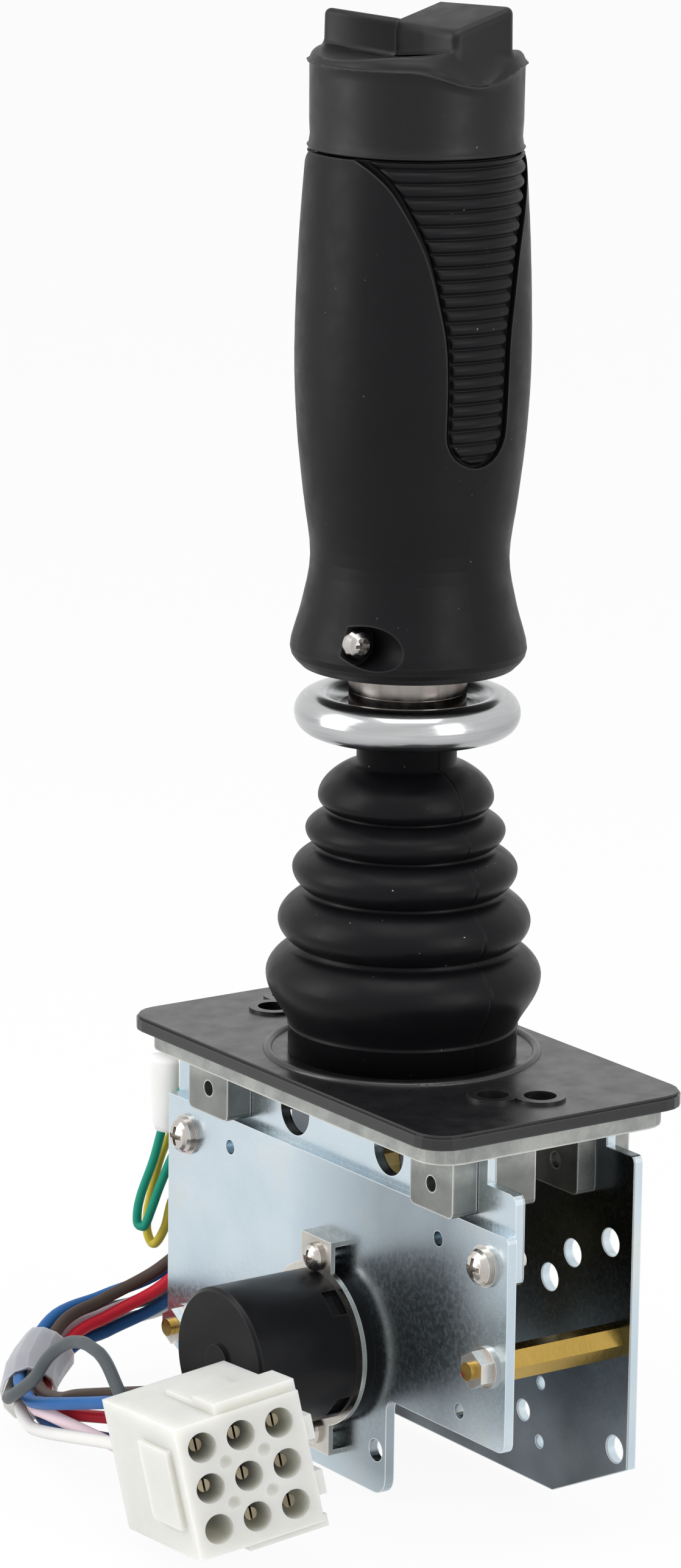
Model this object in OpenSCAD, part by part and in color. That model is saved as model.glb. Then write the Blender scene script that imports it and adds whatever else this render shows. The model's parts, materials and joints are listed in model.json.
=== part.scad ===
// Single-axis industrial joystick with lift-to-unlock ring and thumb rocker.
// Origin: lever axis at the top face of the gasket. X is the way the lever
// tilts, Y is the pivot axis, Z is up. Millimetres.

/* [Gasket and flange] */
// Length of the gasket pad along X
pad_l = 90.6; // [80:0.1:110]
// Width of the gasket pad along Y
pad_w = 51.8; // [48:0.1:70]
// Thickness of the gasket pad
pad_t = 2.4; // [1.5:0.1:4]
// Corner radius of the gasket pad
pad_r = 5.5; // [3:0.5:9]
// How far the pad and side plates sit to +X of the lever axis
frame_x = 2.1; // [-3:0.1:3]
// How far the flange edge lies inside the pad edge
flange_inset = 2.2; // [1:0.1:4]
// Thickness of the cast flange
flange_t = 3.3; // [2.5:0.1:6]
// Half spacing of the near mounting holes along X
hole_near_x = 31.6; // [29.5:0.1:33]
// Half spacing of the far mounting holes along X
hole_far_x = 36.3; // [35:0.1:38]
// Diameter of the mounting holes in the flange
hole_d = 4.3; // [3:0.1:5]
// Diameter of the mounting holes in the rubber
pad_hole_d = 5.4; // [4.5:0.1:6]

/* [Side plates] */
// Sheet thickness of the side plates
plate_t = 1.8; // [1:0.1:2.2]
// Inner face of the near side plate
near_y = -11.7; // [-14:0.1:-11.6]
// Inner face of the far side plate
far_y = 10.2; // [10.2:0.1:13]
// Half length of the outer side plates
plate_half = 49.3; // [47:0.1:56]
// Height of the feet of the plates below the gasket top
foot_z = -70.3; // [-80:0.1:-69]
// Bottom edge of the short end of the sensor plate
short_z = -53.2; // [-56:0.1:-50]

/* [Lever] */
// Height of the pivot axis
pivot_z = -17.7; // [-18.4:0.1:-17]
// Diameter of the pivot axle
axle_d = 6; // [5:0.1:6.5]
// Outside diameter of the lever tube
tube_d = 12; // [11:0.1:12.4]
// Bore of the lever tube
tube_bore = 8; // [6:0.1:9]
// Outside diameter of the lock sleeve below the ring
sleeve_d = 14; // [13.6:0.1:14.4]
// Diameter of the polished collar on the lock sleeve
collar_d = 19.6; // [18:0.1:20.5]
// Outside diameter of the lift ring
ring_d = 37.2; // [34:0.1:42]
// Diameter of the round bead of the lift ring
bead_d = 7; // [6:0.1:8]
// Height of the middle of the lift ring
ring_z = 57.4; // [56:0.1:58]
// How far the ring lifts
lift = 4; // [3:0.1:4.4]

/* [Grip] */
// Height of the bottom of the grip
grip_z0 = 65.5; // [65.4:0.1:66]
// Height of the seam between the grip and the rubber cap
seam_z = 150.7; // [148:0.1:156]
// Widest radius of the grip barrel
barrel_r = 19.2; // [18.5:0.1:22]
// Radius of the waist of the grip
waist_r = 16.25; // [15.8:0.05:17]
// Radius of the flare at the foot of the grip
flare_r = 19.4; // [18.5:0.1:22]
// Radius of the grip where it meets the cap
seam_r = 17.7; // [17.2:0.1:18.5]
// Depth of the pads let into the grip
inlay_t = 1.3; // [0.8:0.1:1.6]
// Number of ribs on each pad
rib_count = 21; // [12:1:24]

/* [Cap and rocker] */
// Radius of the rubber cap
cap_r = 17.2; // [16.8:0.1:17.6]
// Height of the cap rim above the seam
cap_h = 13.3; // [12.5:0.1:15]
// Width of the thumb blocks at the middle of the cap
ridge_w = 10; // [8:0.1:11]
// Wall of the rubber cap
cap_wall = 1.6; // [1.2:0.1:2]

/* [Boot] */
// Outer radius of the boot at its base
boot_base_r = 19; // [18.4:0.1:19.6]
// Wall of the boot
boot_wall = 1.4; // [1:0.1:1.6]
// Outer radius of the boot neck
neck_r = 8.25; // [8:0.05:9]
// Middle radius of the raised sealing ring on the pad
seal_r = 22.4; // [22:0.1:23]

/* [Sensor] */
// Outside diameter of the position sensor
sensor_d = 25.2; // [22:0.1:26]
// Front face of the position sensor
sensor_y = -37.5; // [-45:0.1:-30]
// Gear module
gear_m = 1; // [0.98:0.01:1]
// Teeth of the full circle of the sector gear
sector_teeth = 48; // [44:4:48]
// Teeth of the pinion
pinion_teeth = 12; // [12:1:13]

/* [Connector and wires] */
// Pitch of the connector contacts
pitch = 6.8; // [6.3:0.05:7]
// Length of the connector housing
housing_l = 29; // [26:0.5:32]
// Diameter of the wires
wire_d = 2.2; // [1.8:0.1:2.3]

/* [Hidden] */
$fn = 48;
slip = 0.02;             // radial gap of a seated pair
run = 0.05;              // radial running clearance
soft_gap = 0.3;          // gap between bodies that move past each other
pad_at = [frame_x - 0.8, -0.7];          // middle of the pad and flange
flange_z = -pad_t;                       // top of the flange
under_z = flange_z - flange_t;           // underside of the flange
strip_y0 = near_y - plate_t;             // outer face of the near side plate
sensor_face_y = strip_y0 - plate_t;      // outer face of the sensor plate
far_out_y = far_y + plate_t;             // outer face of the far side plate
lug_x0 = 26.6;           // inner side of the lugs, from the frame's middle
lug_x1 = 38.4;           // outer side of the lugs
lug_z = -16.2;           // bottom of the lugs
lug_near_t = 4.8;        // thickness of the outer near lug
lug_pin_z = -11.6;       // height of the cross pins
lug_pin_x = 32.4;        // half spacing of the cross pins
lug_pin_d = 2.6;
plate_top_z = -10.3;     // top of the near plate's ends
far_top_z = -7.7;        // top of the far plate's ends
strip_z = -25.6;         // bottom edge of the near plate
neck_half = plate_half - 8.3;            // half width of the plates' raised middle
sensor_plate_top_z = -16.9;
tab_x = 16.5;            // right side of the tab, from the frame's middle
chamfer_x = 28.5;        // where the feet end, from the frame's middle
chamfer_z = 9.4;         // rise of the chamfered corners
window_x = 13.6;         // half spacing of the round windows in the near plate
window_d = 8.4;
screw_x = plate_half - 5.9;              // half spacing of the plate screws
screw_z = -22.9;
m3 = 3;
standoff_right = [plate_half - 5.2, -39.8];
standoff_left = [5.7 - plate_half, -57];
standoff_af = 5;

hub_r = 8;
hub_top = 16.4;          // top of the hub's socket above the pivot
hub_foot = 15;           // hub's foot below the pivot
hub_clear = 8.4;         // height of the room beside the neck above the pivot
neck_hub_r = tube_d / 2 + 1;
socket_z = pivot_z + hub_clear;
sector_screw_x = 6.6;
hub_y0 = -5.6;
hub_y1 = 3.4;
barrel_y1 = 8.6;         // far end of the hub barrel
barrel_hub_r = 5.4;
spigot_r = 5;
sector_y0 = -9.2;
bush_flange_t = 0.9;
bush_r = 4.5;
slot_half_x = 14.2;
slot_half_y = 7.5;

sensor_x = frame_x;
gear_a = gear_m * (sector_teeth + pinion_teeth) / 2;
sensor_z = pivot_z - sqrt(gear_a * gear_a - sensor_x * sensor_x);
mesh_tilt = atan2(sensor_x, pivot_z - sensor_z);
sensor_shaft_d = 6;
clamp_t = 0.9;
clamp_stand = 2.1;       // gap between the clamp leaf and the sensor plate
clamp_ear_half = 4.3;
clamp_screw_dz = sensor_d / 2 + 2.5;

base_top_z = 4.6;        // top of the boot's straight base
clip_x = frame_x - plate_half + 1.2;     // outer end of the wire clip
clip_size = [8.6, 11, 20];               // size of the wire clip
bundle_at = [-8, -48];                   // middle of the seven wires in the clip
bundle_pitch = 3.2;
thin_wire_d = 1.6;
ring_c = ring_d / 2 - bead_d / 2;        // radius of the bead's centre
collar_step_z = 61;
collar_top_z = grip_z0 + 1.5;
spring_room = 12;
grip_bore_top = 118;
tube_top_z = grip_bore_top - 0.2;
cap_rim_z = seam_z + cap_h;
deck_z = cap_rim_z + 1.1;                // lowest line of the cap's dished deck
deck_bend_r = 41;
scoop_r = 12.8;          // finger scoops at both ends of the cap
scoop_x = 25.6;
block_x = 14;            // length of a thumb block
rocker_pin_z = cap_rim_z - 6;

gate_r = 17.6;           // radius of the lock gate's rails about the pivot
gate_t = 1.2;
gate_y0 = 7.6;
gate_y1 = 9.8;
stud_z = pivot_z + gate_r + soft_gap + 1.5;

spring_wire = 1.2;
coil_r = 7.2;
post_r = 1.6;
drive_pin_rz = 12.5;     // drive pin's distance below the pivot
anchor_rz = 16.2;        // fixed spring post's distance below the pivot

// wire centre lines, chosen points from the clip round to the housing

wire_blue_route = [
    [-43.5, -6.4, -45.2], [-48.5, -6.4, -45.2], [-58, -11, -53.5], [-61, -19.5, -56.5],
    [-60, -30, -58], [-55, -38.5, -61.5], [-49.5, -44, -64], [-41.5, -47.5, -64],
    [-32.5, -49.5, -62.5], [0, -50.5, -52.5], [8.5, -52, -50], [14.5, -53, -49]];
wire_brown_route = [
    [-43.5, -9.6, -45.2], [-48, -9.6, -45.2], [-55.5, -13, -52], [-58, -21.5, -56],
    [-57, -30, -58], [-52.5, -37, -61.5], [-48, -41.5, -64], [-41, -44.5, -64],
    [-32, -46.5, -62], [-24, -47, -59], [1, -45, -51.5], [9.5, -45.5, -49],
    [15.5, -46.5, -48]];
wire_red_route = [
    [-43.5, -11.2, -48], [-46.5, -11.2, -48], [-53.5, -13.5, -54.5],
    [-56.5, -21, -58.5], [-55.5, -29, -60.5], [-52, -35.5, -64], [-47.5, -40, -66.5],
    [-40, -43, -66.5], [-31.5, -45, -65], [1.5, -44, -57], [10.5, -44.5, -55.5],
    [16.5, -45.5, -54.5]];
wire_navy_route = [
    [-43.5, -9.6, -50.8], [-46.5, -9.6, -50.8], [-54, -12, -57.5], [-57.5, -20, -61.5],
    [-57, -28, -63], [-54, -35.5, -66.5], [-48.5, -41, -69], [-40.5, -44.5, -69],
    [-31.5, -46.5, -67.5], [2.5, -43, -62.5], [12, -43.5, -62], [17.5, -44.5, -61.5]];
wire_white_route = [
    [-43.5, -6.4, -50.8], [-46.5, -6.4, -50.8], [-55, -9.5, -58.5],
    [-60, -18.5, -61.5], [-60, -28, -63], [-56.5, -37, -66.5], [-50, -43.5, -69],
    [-41, -47.5, -69], [-32, -49.5, -67.5], [0, -55.5, -59], [8.5, -57.5, -58],
    [14.5, -58.5, -57]];
wire_pink_route = [
    [-43.5, -8, -48], [-47, -8, -48], [-55.5, -11.5, -55.5], [-59, -20.5, -59],
    [-58.5, -29, -60.5], [-54.5, -37, -64], [-49, -42.5, -66.5], [-41, -46, -66.5],
    [-32, -48, -65], [2, -49, -63.5], [11, -50, -63.5], [16.5, -51, -62.5]];
wire_grey_route = [
    [-43.5, -4.8, -48], [-47, -4.8, -48], [-57.5, -9.5, -57], [-62, -19, -59.5],
    [-61.5, -29, -60.5], [-57, -38.5, -64.5], [-50, -45.5, -66.5], [-41, -51, -63.5],
    [-30.5, -53, -57], [-24, -54, -51], [-17, -54.5, -46.5], [-9.5, -55.5, -44.5],
    [-3, -56.5, -45], [2.5, -57.5, -48], [7.5, -58.5, -51], [13.5, -59.5, -50.5]];
wire_green_route = [
    [-42.5, -10.7, -14], [-47.5, -10.6, -16], [-52.5, -10.8, -20.5],
    [-55.5, -11, -25.5], [-57, -12, -32], [-59.5, -13, -39], [-60, -13.5, -43.5],
    [-58.5, -13, -44.5], [-57.5, -12, -41], [-56, -11, -36], [-53, -9.5, -29],
    [-47, -9.5, -26.5], [-42.5, -10.7, -27.5]];
wire_yellow_route = [
    [-42.5, -10.7, -17.8], [-48, -9, -19.5], [-54, -8.8, -25], [-58.5, -9.3, -31.5],
    [-61, -10, -40], [-61.5, -10.5, -45.5], [-60, -10, -48.5], [-57.5, -9.3, -45],
    [-55.5, -8.8, -39], [-50, -8.3, -35], [-42.5, -10.7, -34.5]];

tape_bore = 9.2;
tape_line = [[-56.5, -33.5, -62.5], [-55.5, -35.5, -63.5], [-54.5, -37, -64],
    [-52, -40, -65], [-49, -42.5, -66.5], [-48, -43, -66.5]];

// ---------- helpers ----------

// cylinder along +Y from y0 to y1
module ycyl(r, y0, y1, x = 0, z = 0, fn = 48)
    translate([x, y0, z]) rotate([-90, 0, 0]) cylinder(r = r, h = y1 - y0, $fn = fn);

// points of a rounded corner
function corner(x, y, r, a0, a1, n = 5) =
    [for (i = [0:n]) [x + r * cos(a0 + (a1 - a0) * i / n), y + r * sin(a0 + (a1 - a0) * i / n)]];

function round_rect(l, w, r) = concat(
    corner(l / 2 - r, -w / 2 + r, r, -90, 0), corner(l / 2 - r, w / 2 - r, r, 0, 90),
    corner(-l / 2 + r, w / 2 - r, r, 90, 180), corner(-l / 2 + r, -w / 2 + r, r, 180, 270));

// flat sheet in the XZ plane from y0 to y1
module sheet_xz(points, y0, y1)
    translate([0, y1, 0]) rotate([90, 0, 0]) linear_extrude(height = y1 - y0) polygon(points);

function unit(v) = v / norm(v);
function tangent(p, i) =
    unit(p[min(i + 1, len(p) - 1)] - p[max(i - 1, 0)]);
function side(t) = unit(cross(t, abs(t[2]) < 0.8 ? [0, 0, 1] : [0, 1, 0]));

// tube swept along points as one polyhedron
function rings_along(p, d, sides) = [for (i = [0:len(p) - 1])
    let (t = tangent(p, i), u = side(t), v = cross(t, u))
    for (k = [0:sides - 1]) p[i] + d / 2 * (cos(360 * k / sides) * u + sin(360 * k / sides) * v)];
module swept(p, d, sides = 8) {
    n = len(p);
    rings = rings_along(p, d, sides);
    walls = [for (i = [0:n - 2], k = [0:sides - 1]) let (q = (k + 1) % sides)
        [i * sides + k, i * sides + q, (i + 1) * sides + q, (i + 1) * sides + k]];
    ends = [[for (k = [sides - 1:-1:0]) k], [for (k = [0:sides - 1]) (n - 1) * sides + k]];
    polyhedron(points = rings, faces = concat(walls, ends), convexity = 6);
}

// Catmull-Rom curve through stations
function spline_at(p, i, t) =
    let (a = p[max(i - 1, 0)], b = p[i], c = p[i + 1], d = p[min(i + 2, len(p) - 1)])
    0.5 * ((2 * b) + (c - a) * t + (2 * a - 5 * b + 4 * c - d) * t * t
        + (3 * b - a - 3 * c + d) * t * t * t);
function spline(p, n) =
    concat([for (i = [0:len(p) - 2], k = [0:n - 1]) spline_at(p, i, k / n)], [p[len(p) - 1]]);

// pan head screw along +Y, head towards -Y, seat at y = 0
module pan_screw(shank_d, shank_l, head_d, head_h)
    difference() {
        union() {
            ycyl(shank_d / 2, 0, shank_l);
            rotate([90, 0, 0]) rotate_extrude() polygon(concat([[0, 0], [head_d / 2, 0]],
                [for (a = [20:14:90]) [head_d / 2 * cos(a) / cos(20), head_h * sin(a)]]));
        }
        for (a = [0, 90]) rotate([0, a, 0])
            translate([-head_d * 0.28, -head_h - 0.1, -head_d * 0.07])
            cube([head_d * 0.56, head_h * 0.6, head_d * 0.14]);
    }

module hex_nut(af, bore, y0, y1)
    difference() {
        rotate([0, 30, 0]) ycyl(af / 2 / cos(30), y0, y1, fn = 6);
        ycyl(bore, y0 - 1, y1 + 1);
    }

module washer(od, bore, y0, y1)
    difference() {
        ycyl(od / 2, y0, y1);
        ycyl(bore, y0 - 1, y1 + 1);
    }

// the same thing at x and -x about the frame's middle
module both_ends(x) for (s = [-1, 1]) translate([frame_x + s * x, 0, 0]) children();

// ---------- flange, gasket and boot ----------

module mounting_flange() color([0.62, 0.61, 0.58]) difference() {
    union() {
        translate([pad_at[0], pad_at[1], under_z]) linear_extrude(height = flange_t)
            polygon(round_rect(pad_l - 2 * flange_inset, pad_w - 2 * flange_inset, pad_r));
        for (s = [-1, 1]) lug_block(s);
    }
    translate([0, 0, under_z - 1]) linear_extrude(height = flange_t + 2)
        polygon(round_rect(2 * slot_half_x, 2 * slot_half_y, slot_half_y - 0.1));
    for (s = [-1, 1]) {
        translate([s * hole_near_x, -4.4, lug_z - 1]) cylinder(d = hole_d, h = 30);
        translate([s * hole_far_x, 1.7, lug_z - 1]) cylinder(d = hole_d, h = 30);
        translate([0, s * 13.2, under_z - 1]) cylinder(d = 2.1, h = 9);
    }
    both_ends(lug_pin_x) ycyl(lug_pin_d / 2 + slip, -25, 25, z = lug_pin_z);
}

// four lugs of one end: outer and inner, near and far
module lug_block(s) {
    x0 = frame_x + (s > 0 ? lug_x0 : -lug_x1);
    w = lug_x1 - lug_x0;
    spans = [[strip_y0 - 0.1 - lug_near_t, strip_y0 - 0.1], [near_y + 0.1, -2],
        [far_y - 3.8, far_y - 0.05], [far_out_y + 0.05, far_out_y + 4.8]];
    for (y = spans) translate([x0, y[0], 0]) lug(w, y[1] - y[0]);
}

// one lug with its two lower corners rounded
module lug(w, t) {
    h = under_z - lug_z;
    translate([0, t, lug_z]) rotate([90, 0, 0]) linear_extrude(height = t)
        polygon(concat(corner(1, 1, 1, 180, 270, 3), corner(w - 1, 1, 1, 270, 360, 3),
            [[w, h + 1], [0, h + 1]]));
}

module gasket_pad() color([0.13, 0.13, 0.14]) difference() {
    union() {
        translate([pad_at[0], pad_at[1], -pad_t]) linear_extrude(height = pad_t - 0.5)
            polygon(round_rect(pad_l, pad_w, pad_r));
        translate([pad_at[0], pad_at[1], -0.5]) linear_extrude(height = 0.5)
            polygon(round_rect(pad_l - 0.8, pad_w - 0.8, pad_r - 0.4));
        rotate_extrude($fn = 96) translate([seal_r, -0.2]) circle(r = 0.8, $fn = 16);
        for (s = [-1, 1]) {
            translate([s * hole_near_x, -4.4, -1]) cylinder(d = pad_hole_d + 3, h = 1.5);
            translate([s * hole_far_x, 1.7, -1]) cylinder(d = pad_hole_d + 3, h = 1.5);
        }
    }
    translate([0, 0, -pad_t - 1]) cylinder(r = boot_base_r - boot_wall, h = pad_t + 3, $fn = 96);
    for (s = [-1, 1]) {
        translate([s * hole_near_x, -4.4, -pad_t - 1]) cylinder(d = pad_hole_d, h = pad_t + 3);
        translate([s * hole_far_x, 1.7, -pad_t - 1]) cylinder(d = pad_hole_d, h = pad_t + 3);
    }
}

// peaks [z, r] and valleys of the bellows, from the base up
folds = [[13.2, 22.8], [22.3, 20.9], [31.1, 18.6], [37.7, 16.5], [43.2, 14.5]];
valleys = [[base_top_z, boot_base_r], [18.4, 17.6], [27.4, 15.6], [34.8, 13.9], [40.8, 12], [49, neck_r]];
neck_top_z = ring_z - bead_d / 2 - soft_gap;

function fold_r(z, i, p) =
    let (lo = valleys[i], hi = valleys[i + 1], f = folds[i], up = z < f[0],
        a = up ? lo : hi, t = (z - a[0]) / (f[0] - a[0]))
    a[1] + (f[1] - a[1]) * pow(sin(90 * t), up && i == 0 ? 1.5 : p);
function fold_line(p, wall) = [for (i = [0:4], k = [0:7])
    let (z = valleys[i][0] + (valleys[i + 1][0] - valleys[i][0]) * k / 8)
    [fold_r(z, i, p) - wall, z]];

module boot_bellows() color([0.15, 0.15, 0.16]) rotate_extrude($fn = 72) {
    outer = concat([[boot_base_r, 0]], fold_line(0.65, 0),
        [[neck_r, valleys[5][0]], [neck_r, neck_top_z]]);
    inner = concat([[boot_base_r - boot_wall, 0]], fold_line(1.3, boot_wall),
        [[sleeve_d / 2 + 0.1, valleys[5][0] - 1], [sleeve_d / 2 + 0.1, neck_top_z]]);
    polygon(concat(outer, [for (i = [len(inner) - 1:-1:0]) inner[i]]));
}

// ---------- side plates ----------

module near_side_plate() color([0.75, 0.78, 0.8]) difference() {
    sheet_xz(concat([[frame_x - neck_half, under_z - 0.05], [frame_x - neck_half, plate_top_z]],
        corner(frame_x - plate_half + 2, plate_top_z - 1.5, 1.5, 90, 180, 3),
        corner(frame_x - plate_half + 2, strip_z + 1.5, 1.5, 180, 270, 3),
        corner(frame_x + plate_half - 2, strip_z + 1.5, 1.5, 270, 360, 3),
        corner(frame_x + plate_half - 2, plate_top_z - 1.5, 1.5, 0, 90, 3),
        [[frame_x + neck_half, plate_top_z], [frame_x + neck_half, under_z - 0.05]]), strip_y0, near_y);
    both_ends(window_x) ycyl(window_d / 2, -20, 0, z = lug_pin_z);
    both_ends(lug_pin_x) ycyl(lug_pin_d / 2 + slip, -20, 0, z = lug_pin_z);
    both_ends(screw_x) ycyl(m3 / 2 + 0.1, -20, 0, z = screw_z);
}

function outer_plate(top) = concat([[-plate_half, top], [-plate_half, foot_z + chamfer_z],
    [-chamfer_x, foot_z]]);

module sensor_plate() color([0.8, 0.83, 0.85]) difference() {
    translate([frame_x, 0, 0]) sheet_xz(concat(outer_plate(sensor_plate_top_z),
        corner(tab_x - 3, foot_z + 3, 3, 270, 360),
        [for (a = [180:-22.5:90]) [tab_x + 2 + 2 * cos(a), short_z - 2 + 2 * sin(a)]],
        corner(plate_half - 1.5, short_z + 1.5, 1.5, 270, 360, 3),
        corner(plate_half - 1, sensor_plate_top_z - 1, 1, 0, 90, 3)),
        sensor_face_y, strip_y0 - 0.02);
    both_ends(screw_x) ycyl(m3 / 2 + 0.1, -20, 0, z = screw_z);
    both_ends(30.3) ycyl(1.25, -20, 0, z = -21.9);
    translate([frame_x, 0, 0]) {
        ycyl(1.25, -20, 0, x = 36.9, z = -49.3);
        ycyl(1.9, -20, 0, x = 13.7, z = -62.9);
        for (p = [standoff_right, standoff_left]) ycyl(m3 / 2 + 0.1, -20, 0, x = p[0], z = p[1]);
        for (s = [-1, 1]) ycyl(1.25, -20, 0, z = sensor_z + s * clamp_screw_dz);
    }
    ycyl(sensor_shaft_d / 2 + 1, -20, 0, x = sensor_x, z = sensor_z);
}

module far_side_plate() color([0.72, 0.75, 0.77]) difference() {
    translate([frame_x, 0, 0]) sheet_xz(concat(
        [[-neck_half, under_z - 0.05], [-neck_half, far_top_z]],
        corner(-plate_half + 1, far_top_z - 1, 1, 90, 180, 3),
        [[-plate_half, foot_z + chamfer_z], [-chamfer_x, foot_z],
        [chamfer_x, foot_z], [plate_half - 0.9, foot_z + chamfer_z]],
        corner(plate_half - 1.9, far_top_z - 1, 1, 0, 90, 3),
        [[neck_half, far_top_z], [neck_half, under_z - 0.05]]), far_y, far_out_y);
    ycyl(bush_r + slip, 0, 20, z = pivot_z);
    both_ends(lug_pin_x) ycyl(lug_pin_d / 2 + slip, 0, 20, z = lug_pin_z);
    translate([frame_x, 0, 0]) {
        for (p = [[26.5, -33.8], [32.6, -28], [plate_half - 6.6, -23.5]]) ycyl(2.4, 0, 20, x = p[0], z = p[1]);
        for (p = [[24.7, -52.7], [24.6, -63]]) ycyl(1.1, 0, 20, x = p[0], z = p[1]);
        ycyl(1.8, 0, 20, x = 20, z = -58.8);
        ycyl(2.3, 0, 20, x = plate_half - 4.2, z = -58.2);
        for (p = [standoff_right, standoff_left]) ycyl(m3 / 2 + 0.1, 0, 20, x = p[0], z = p[1]);
        ycyl(post_r + slip, 0, 20, x = -frame_x, z = pivot_z - anchor_rz);
    }
}

module lug_pins() color("silver") both_ends(lug_pin_x) {
    ycyl(lug_pin_d / 2, strip_y0 - 2.5, near_y + 5, z = lug_pin_z);
    ycyl(lug_pin_d / 2, far_y - 3, far_out_y + 4, z = lug_pin_z);
}

module plate_screws() color("silver") both_ends(screw_x)
    translate([0, sensor_face_y - 0.6, screw_z]) pan_screw(m3, 7.6, 6, 2.3);

module plate_washers() color("silver") both_ends(screw_x)
    translate([0, sensor_face_y - 0.6, screw_z]) washer(7, m3 / 2 + slip, 0, 0.58);

module plate_nuts() color("silver") both_ends(screw_x)
    translate([0, near_y + 0.02, screw_z]) hex_nut(5.5, m3 / 2 + slip, 0, 1.8);

module at_standoffs() for (p = [standoff_right, standoff_left])
    translate([frame_x + p[0], 0, p[1]]) children();

module standoffs() color([0.78, 0.6, 0.28]) at_standoffs() difference() {
    union() {
        ycyl(standoff_af / 2 / cos(30), strip_y0, far_y - 0.02, fn = 6);
        ycyl(m3 / 2, sensor_face_y - 4, strip_y0 + 1);
    }
    ycyl(m3 / 2 + slip, far_y - 8, far_y + 1);
}

module standoff_nuts() color("silver") at_standoffs()
    hex_nut(5.5, m3 / 2 + slip, sensor_face_y - 3, sensor_face_y - 0.62);

module standoff_washers() color("silver") at_standoffs()
    washer(7, m3 / 2 + slip, sensor_face_y - 0.6, sensor_face_y - 0.02);

module standoff_screws() color("silver") at_standoffs()
    translate([0, far_out_y + 0.02, 0]) mirror([0, 1, 0]) pan_screw(m3, 7, 5.8, 2.2);

// ---------- pivot and lever ----------

module bush(y0, y1, yf0, yf1) translate([0, 0, pivot_z]) difference() {
    union() {
        ycyl(bush_r, y0, y1);
        ycyl(bush_r + 1.5, yf0, yf1);
    }
    ycyl(axle_d / 2 + run, -30, 30);
}

// the near bush is welded to the inside of its plate, the far one goes through
module pivot_bushes() color([0.7, 0.52, 0.25]) {
    bush(near_y + 0.02, sector_y0 - soft_gap, near_y + 0.02, near_y + bush_flange_t);
    bush(far_y - bush_flange_t, far_out_y, far_y - bush_flange_t, far_y - 0.02);
}

module pivot_axle() color("silver") difference() {
    ycyl(axle_d / 2, near_y + 0.1, far_out_y + 2.4, z = pivot_z);
    translate([0, far_out_y + 0.7, pivot_z]) washer(2 * axle_d, axle_d / 2 - 0.6, 0, 0.8);
}

module axle_clips() color([0.3, 0.3, 0.32]) translate([0, far_out_y + 0.72, pivot_z])
    difference() {
        ycyl(axle_d / 2 + 2, 0, 0.7);
        ycyl(axle_d / 2 - 0.58, -1, 2);
        translate([-1.6, -1, -12]) cube([3.2, 3, 12]);
    }

// casting: pivot barrel along Y, neck with the tube socket, foot with the drive pin
module lever_hub() color([0.45, 0.46, 0.48]) difference() {
    union() {
        translate([0, 0, pivot_z]) cylinder(r = neck_hub_r, h = hub_top);
        ycyl(hub_r, hub_y0, hub_y1, z = pivot_z);
        ycyl(barrel_hub_r, hub_y1 - 1, barrel_y1, z = pivot_z);
        ycyl(spigot_r, sector_y0, hub_y0 + 1, z = pivot_z);
        translate([0, 0, pivot_z]) sheet_xz([[-hub_r + 0.6, 0], [-3, -hub_foot], [3, -hub_foot],
            [hub_r - 0.6, 0]], hub_y0, hub_y1);
    }
    hub_relief(hub_y0 - 6, hub_y0, spigot_r);
    hub_relief(hub_y1, hub_y1 + 6, barrel_hub_r);
    translate([0, 0, socket_z]) cylinder(d = tube_d + 2 * slip, h = 40);
    ycyl(axle_d / 2 + slip, -30, 30, z = pivot_z);
    ycyl(post_r + slip, -30, 30, z = pivot_z - drive_pin_rz, fn = 32);
    for (s = [-1, 1]) ycyl(0.8, hub_y0 - 1, hub_y0 + 4, x = s * sector_screw_x, z = pivot_z);
}

// room beside the neck for the sector or the spring, round a spigot
module hub_relief(y0, y1, r) difference() {
    translate([-20, y0, pivot_z - 20]) cube([40, y1 - y0, 20 + hub_clear]);
    ycyl(r, y0 - 1, y1 + 1, z = pivot_z);
}

module lever_tube() color([0.7, 0.72, 0.74]) difference() {
    translate([0, 0, socket_z + 0.02]) cylinder(d = tube_d, h = tube_top_z - socket_z - 0.02);
    translate([0, 0, socket_z - 1]) cylinder(d = tube_bore, h = 300);
}

// involute gear tooth, half angle at radius r
function inv(a) = tan(a) * 180 / PI - a;
press_a = 25;
function tooth_half(n, r, lash) = let (rp = gear_m * n / 2, rb = rp * cos(press_a))
    90 / n - lash / rp * 180 / PI + inv(press_a) - inv(acos(rb / max(r, rb)));
function tooth(n, a, lash) = let (rp = gear_m * n / 2, rb = rp * cos(press_a),
        rr = rp - 1.2 * gear_m, ra = rp + 0.9 * gear_m, r0 = max(rb, rr),
        rs = [for (k = [0:5]) r0 + (ra - r0) * k / 5])
    concat([rr * [cos(a - tooth_half(n, r0, lash)), sin(a - tooth_half(n, r0, lash))]],
        [for (k = [0:5]) rs[k] * [cos(a - tooth_half(n, rs[k], lash)), sin(a - tooth_half(n, rs[k], lash))]],
        [for (k = [5:-1:0]) rs[k] * [cos(a + tooth_half(n, rs[k], lash)), sin(a + tooth_half(n, rs[k], lash))]],
        [rr * [cos(a + tooth_half(n, r0, lash)), sin(a + tooth_half(n, r0, lash))]]);

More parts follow.
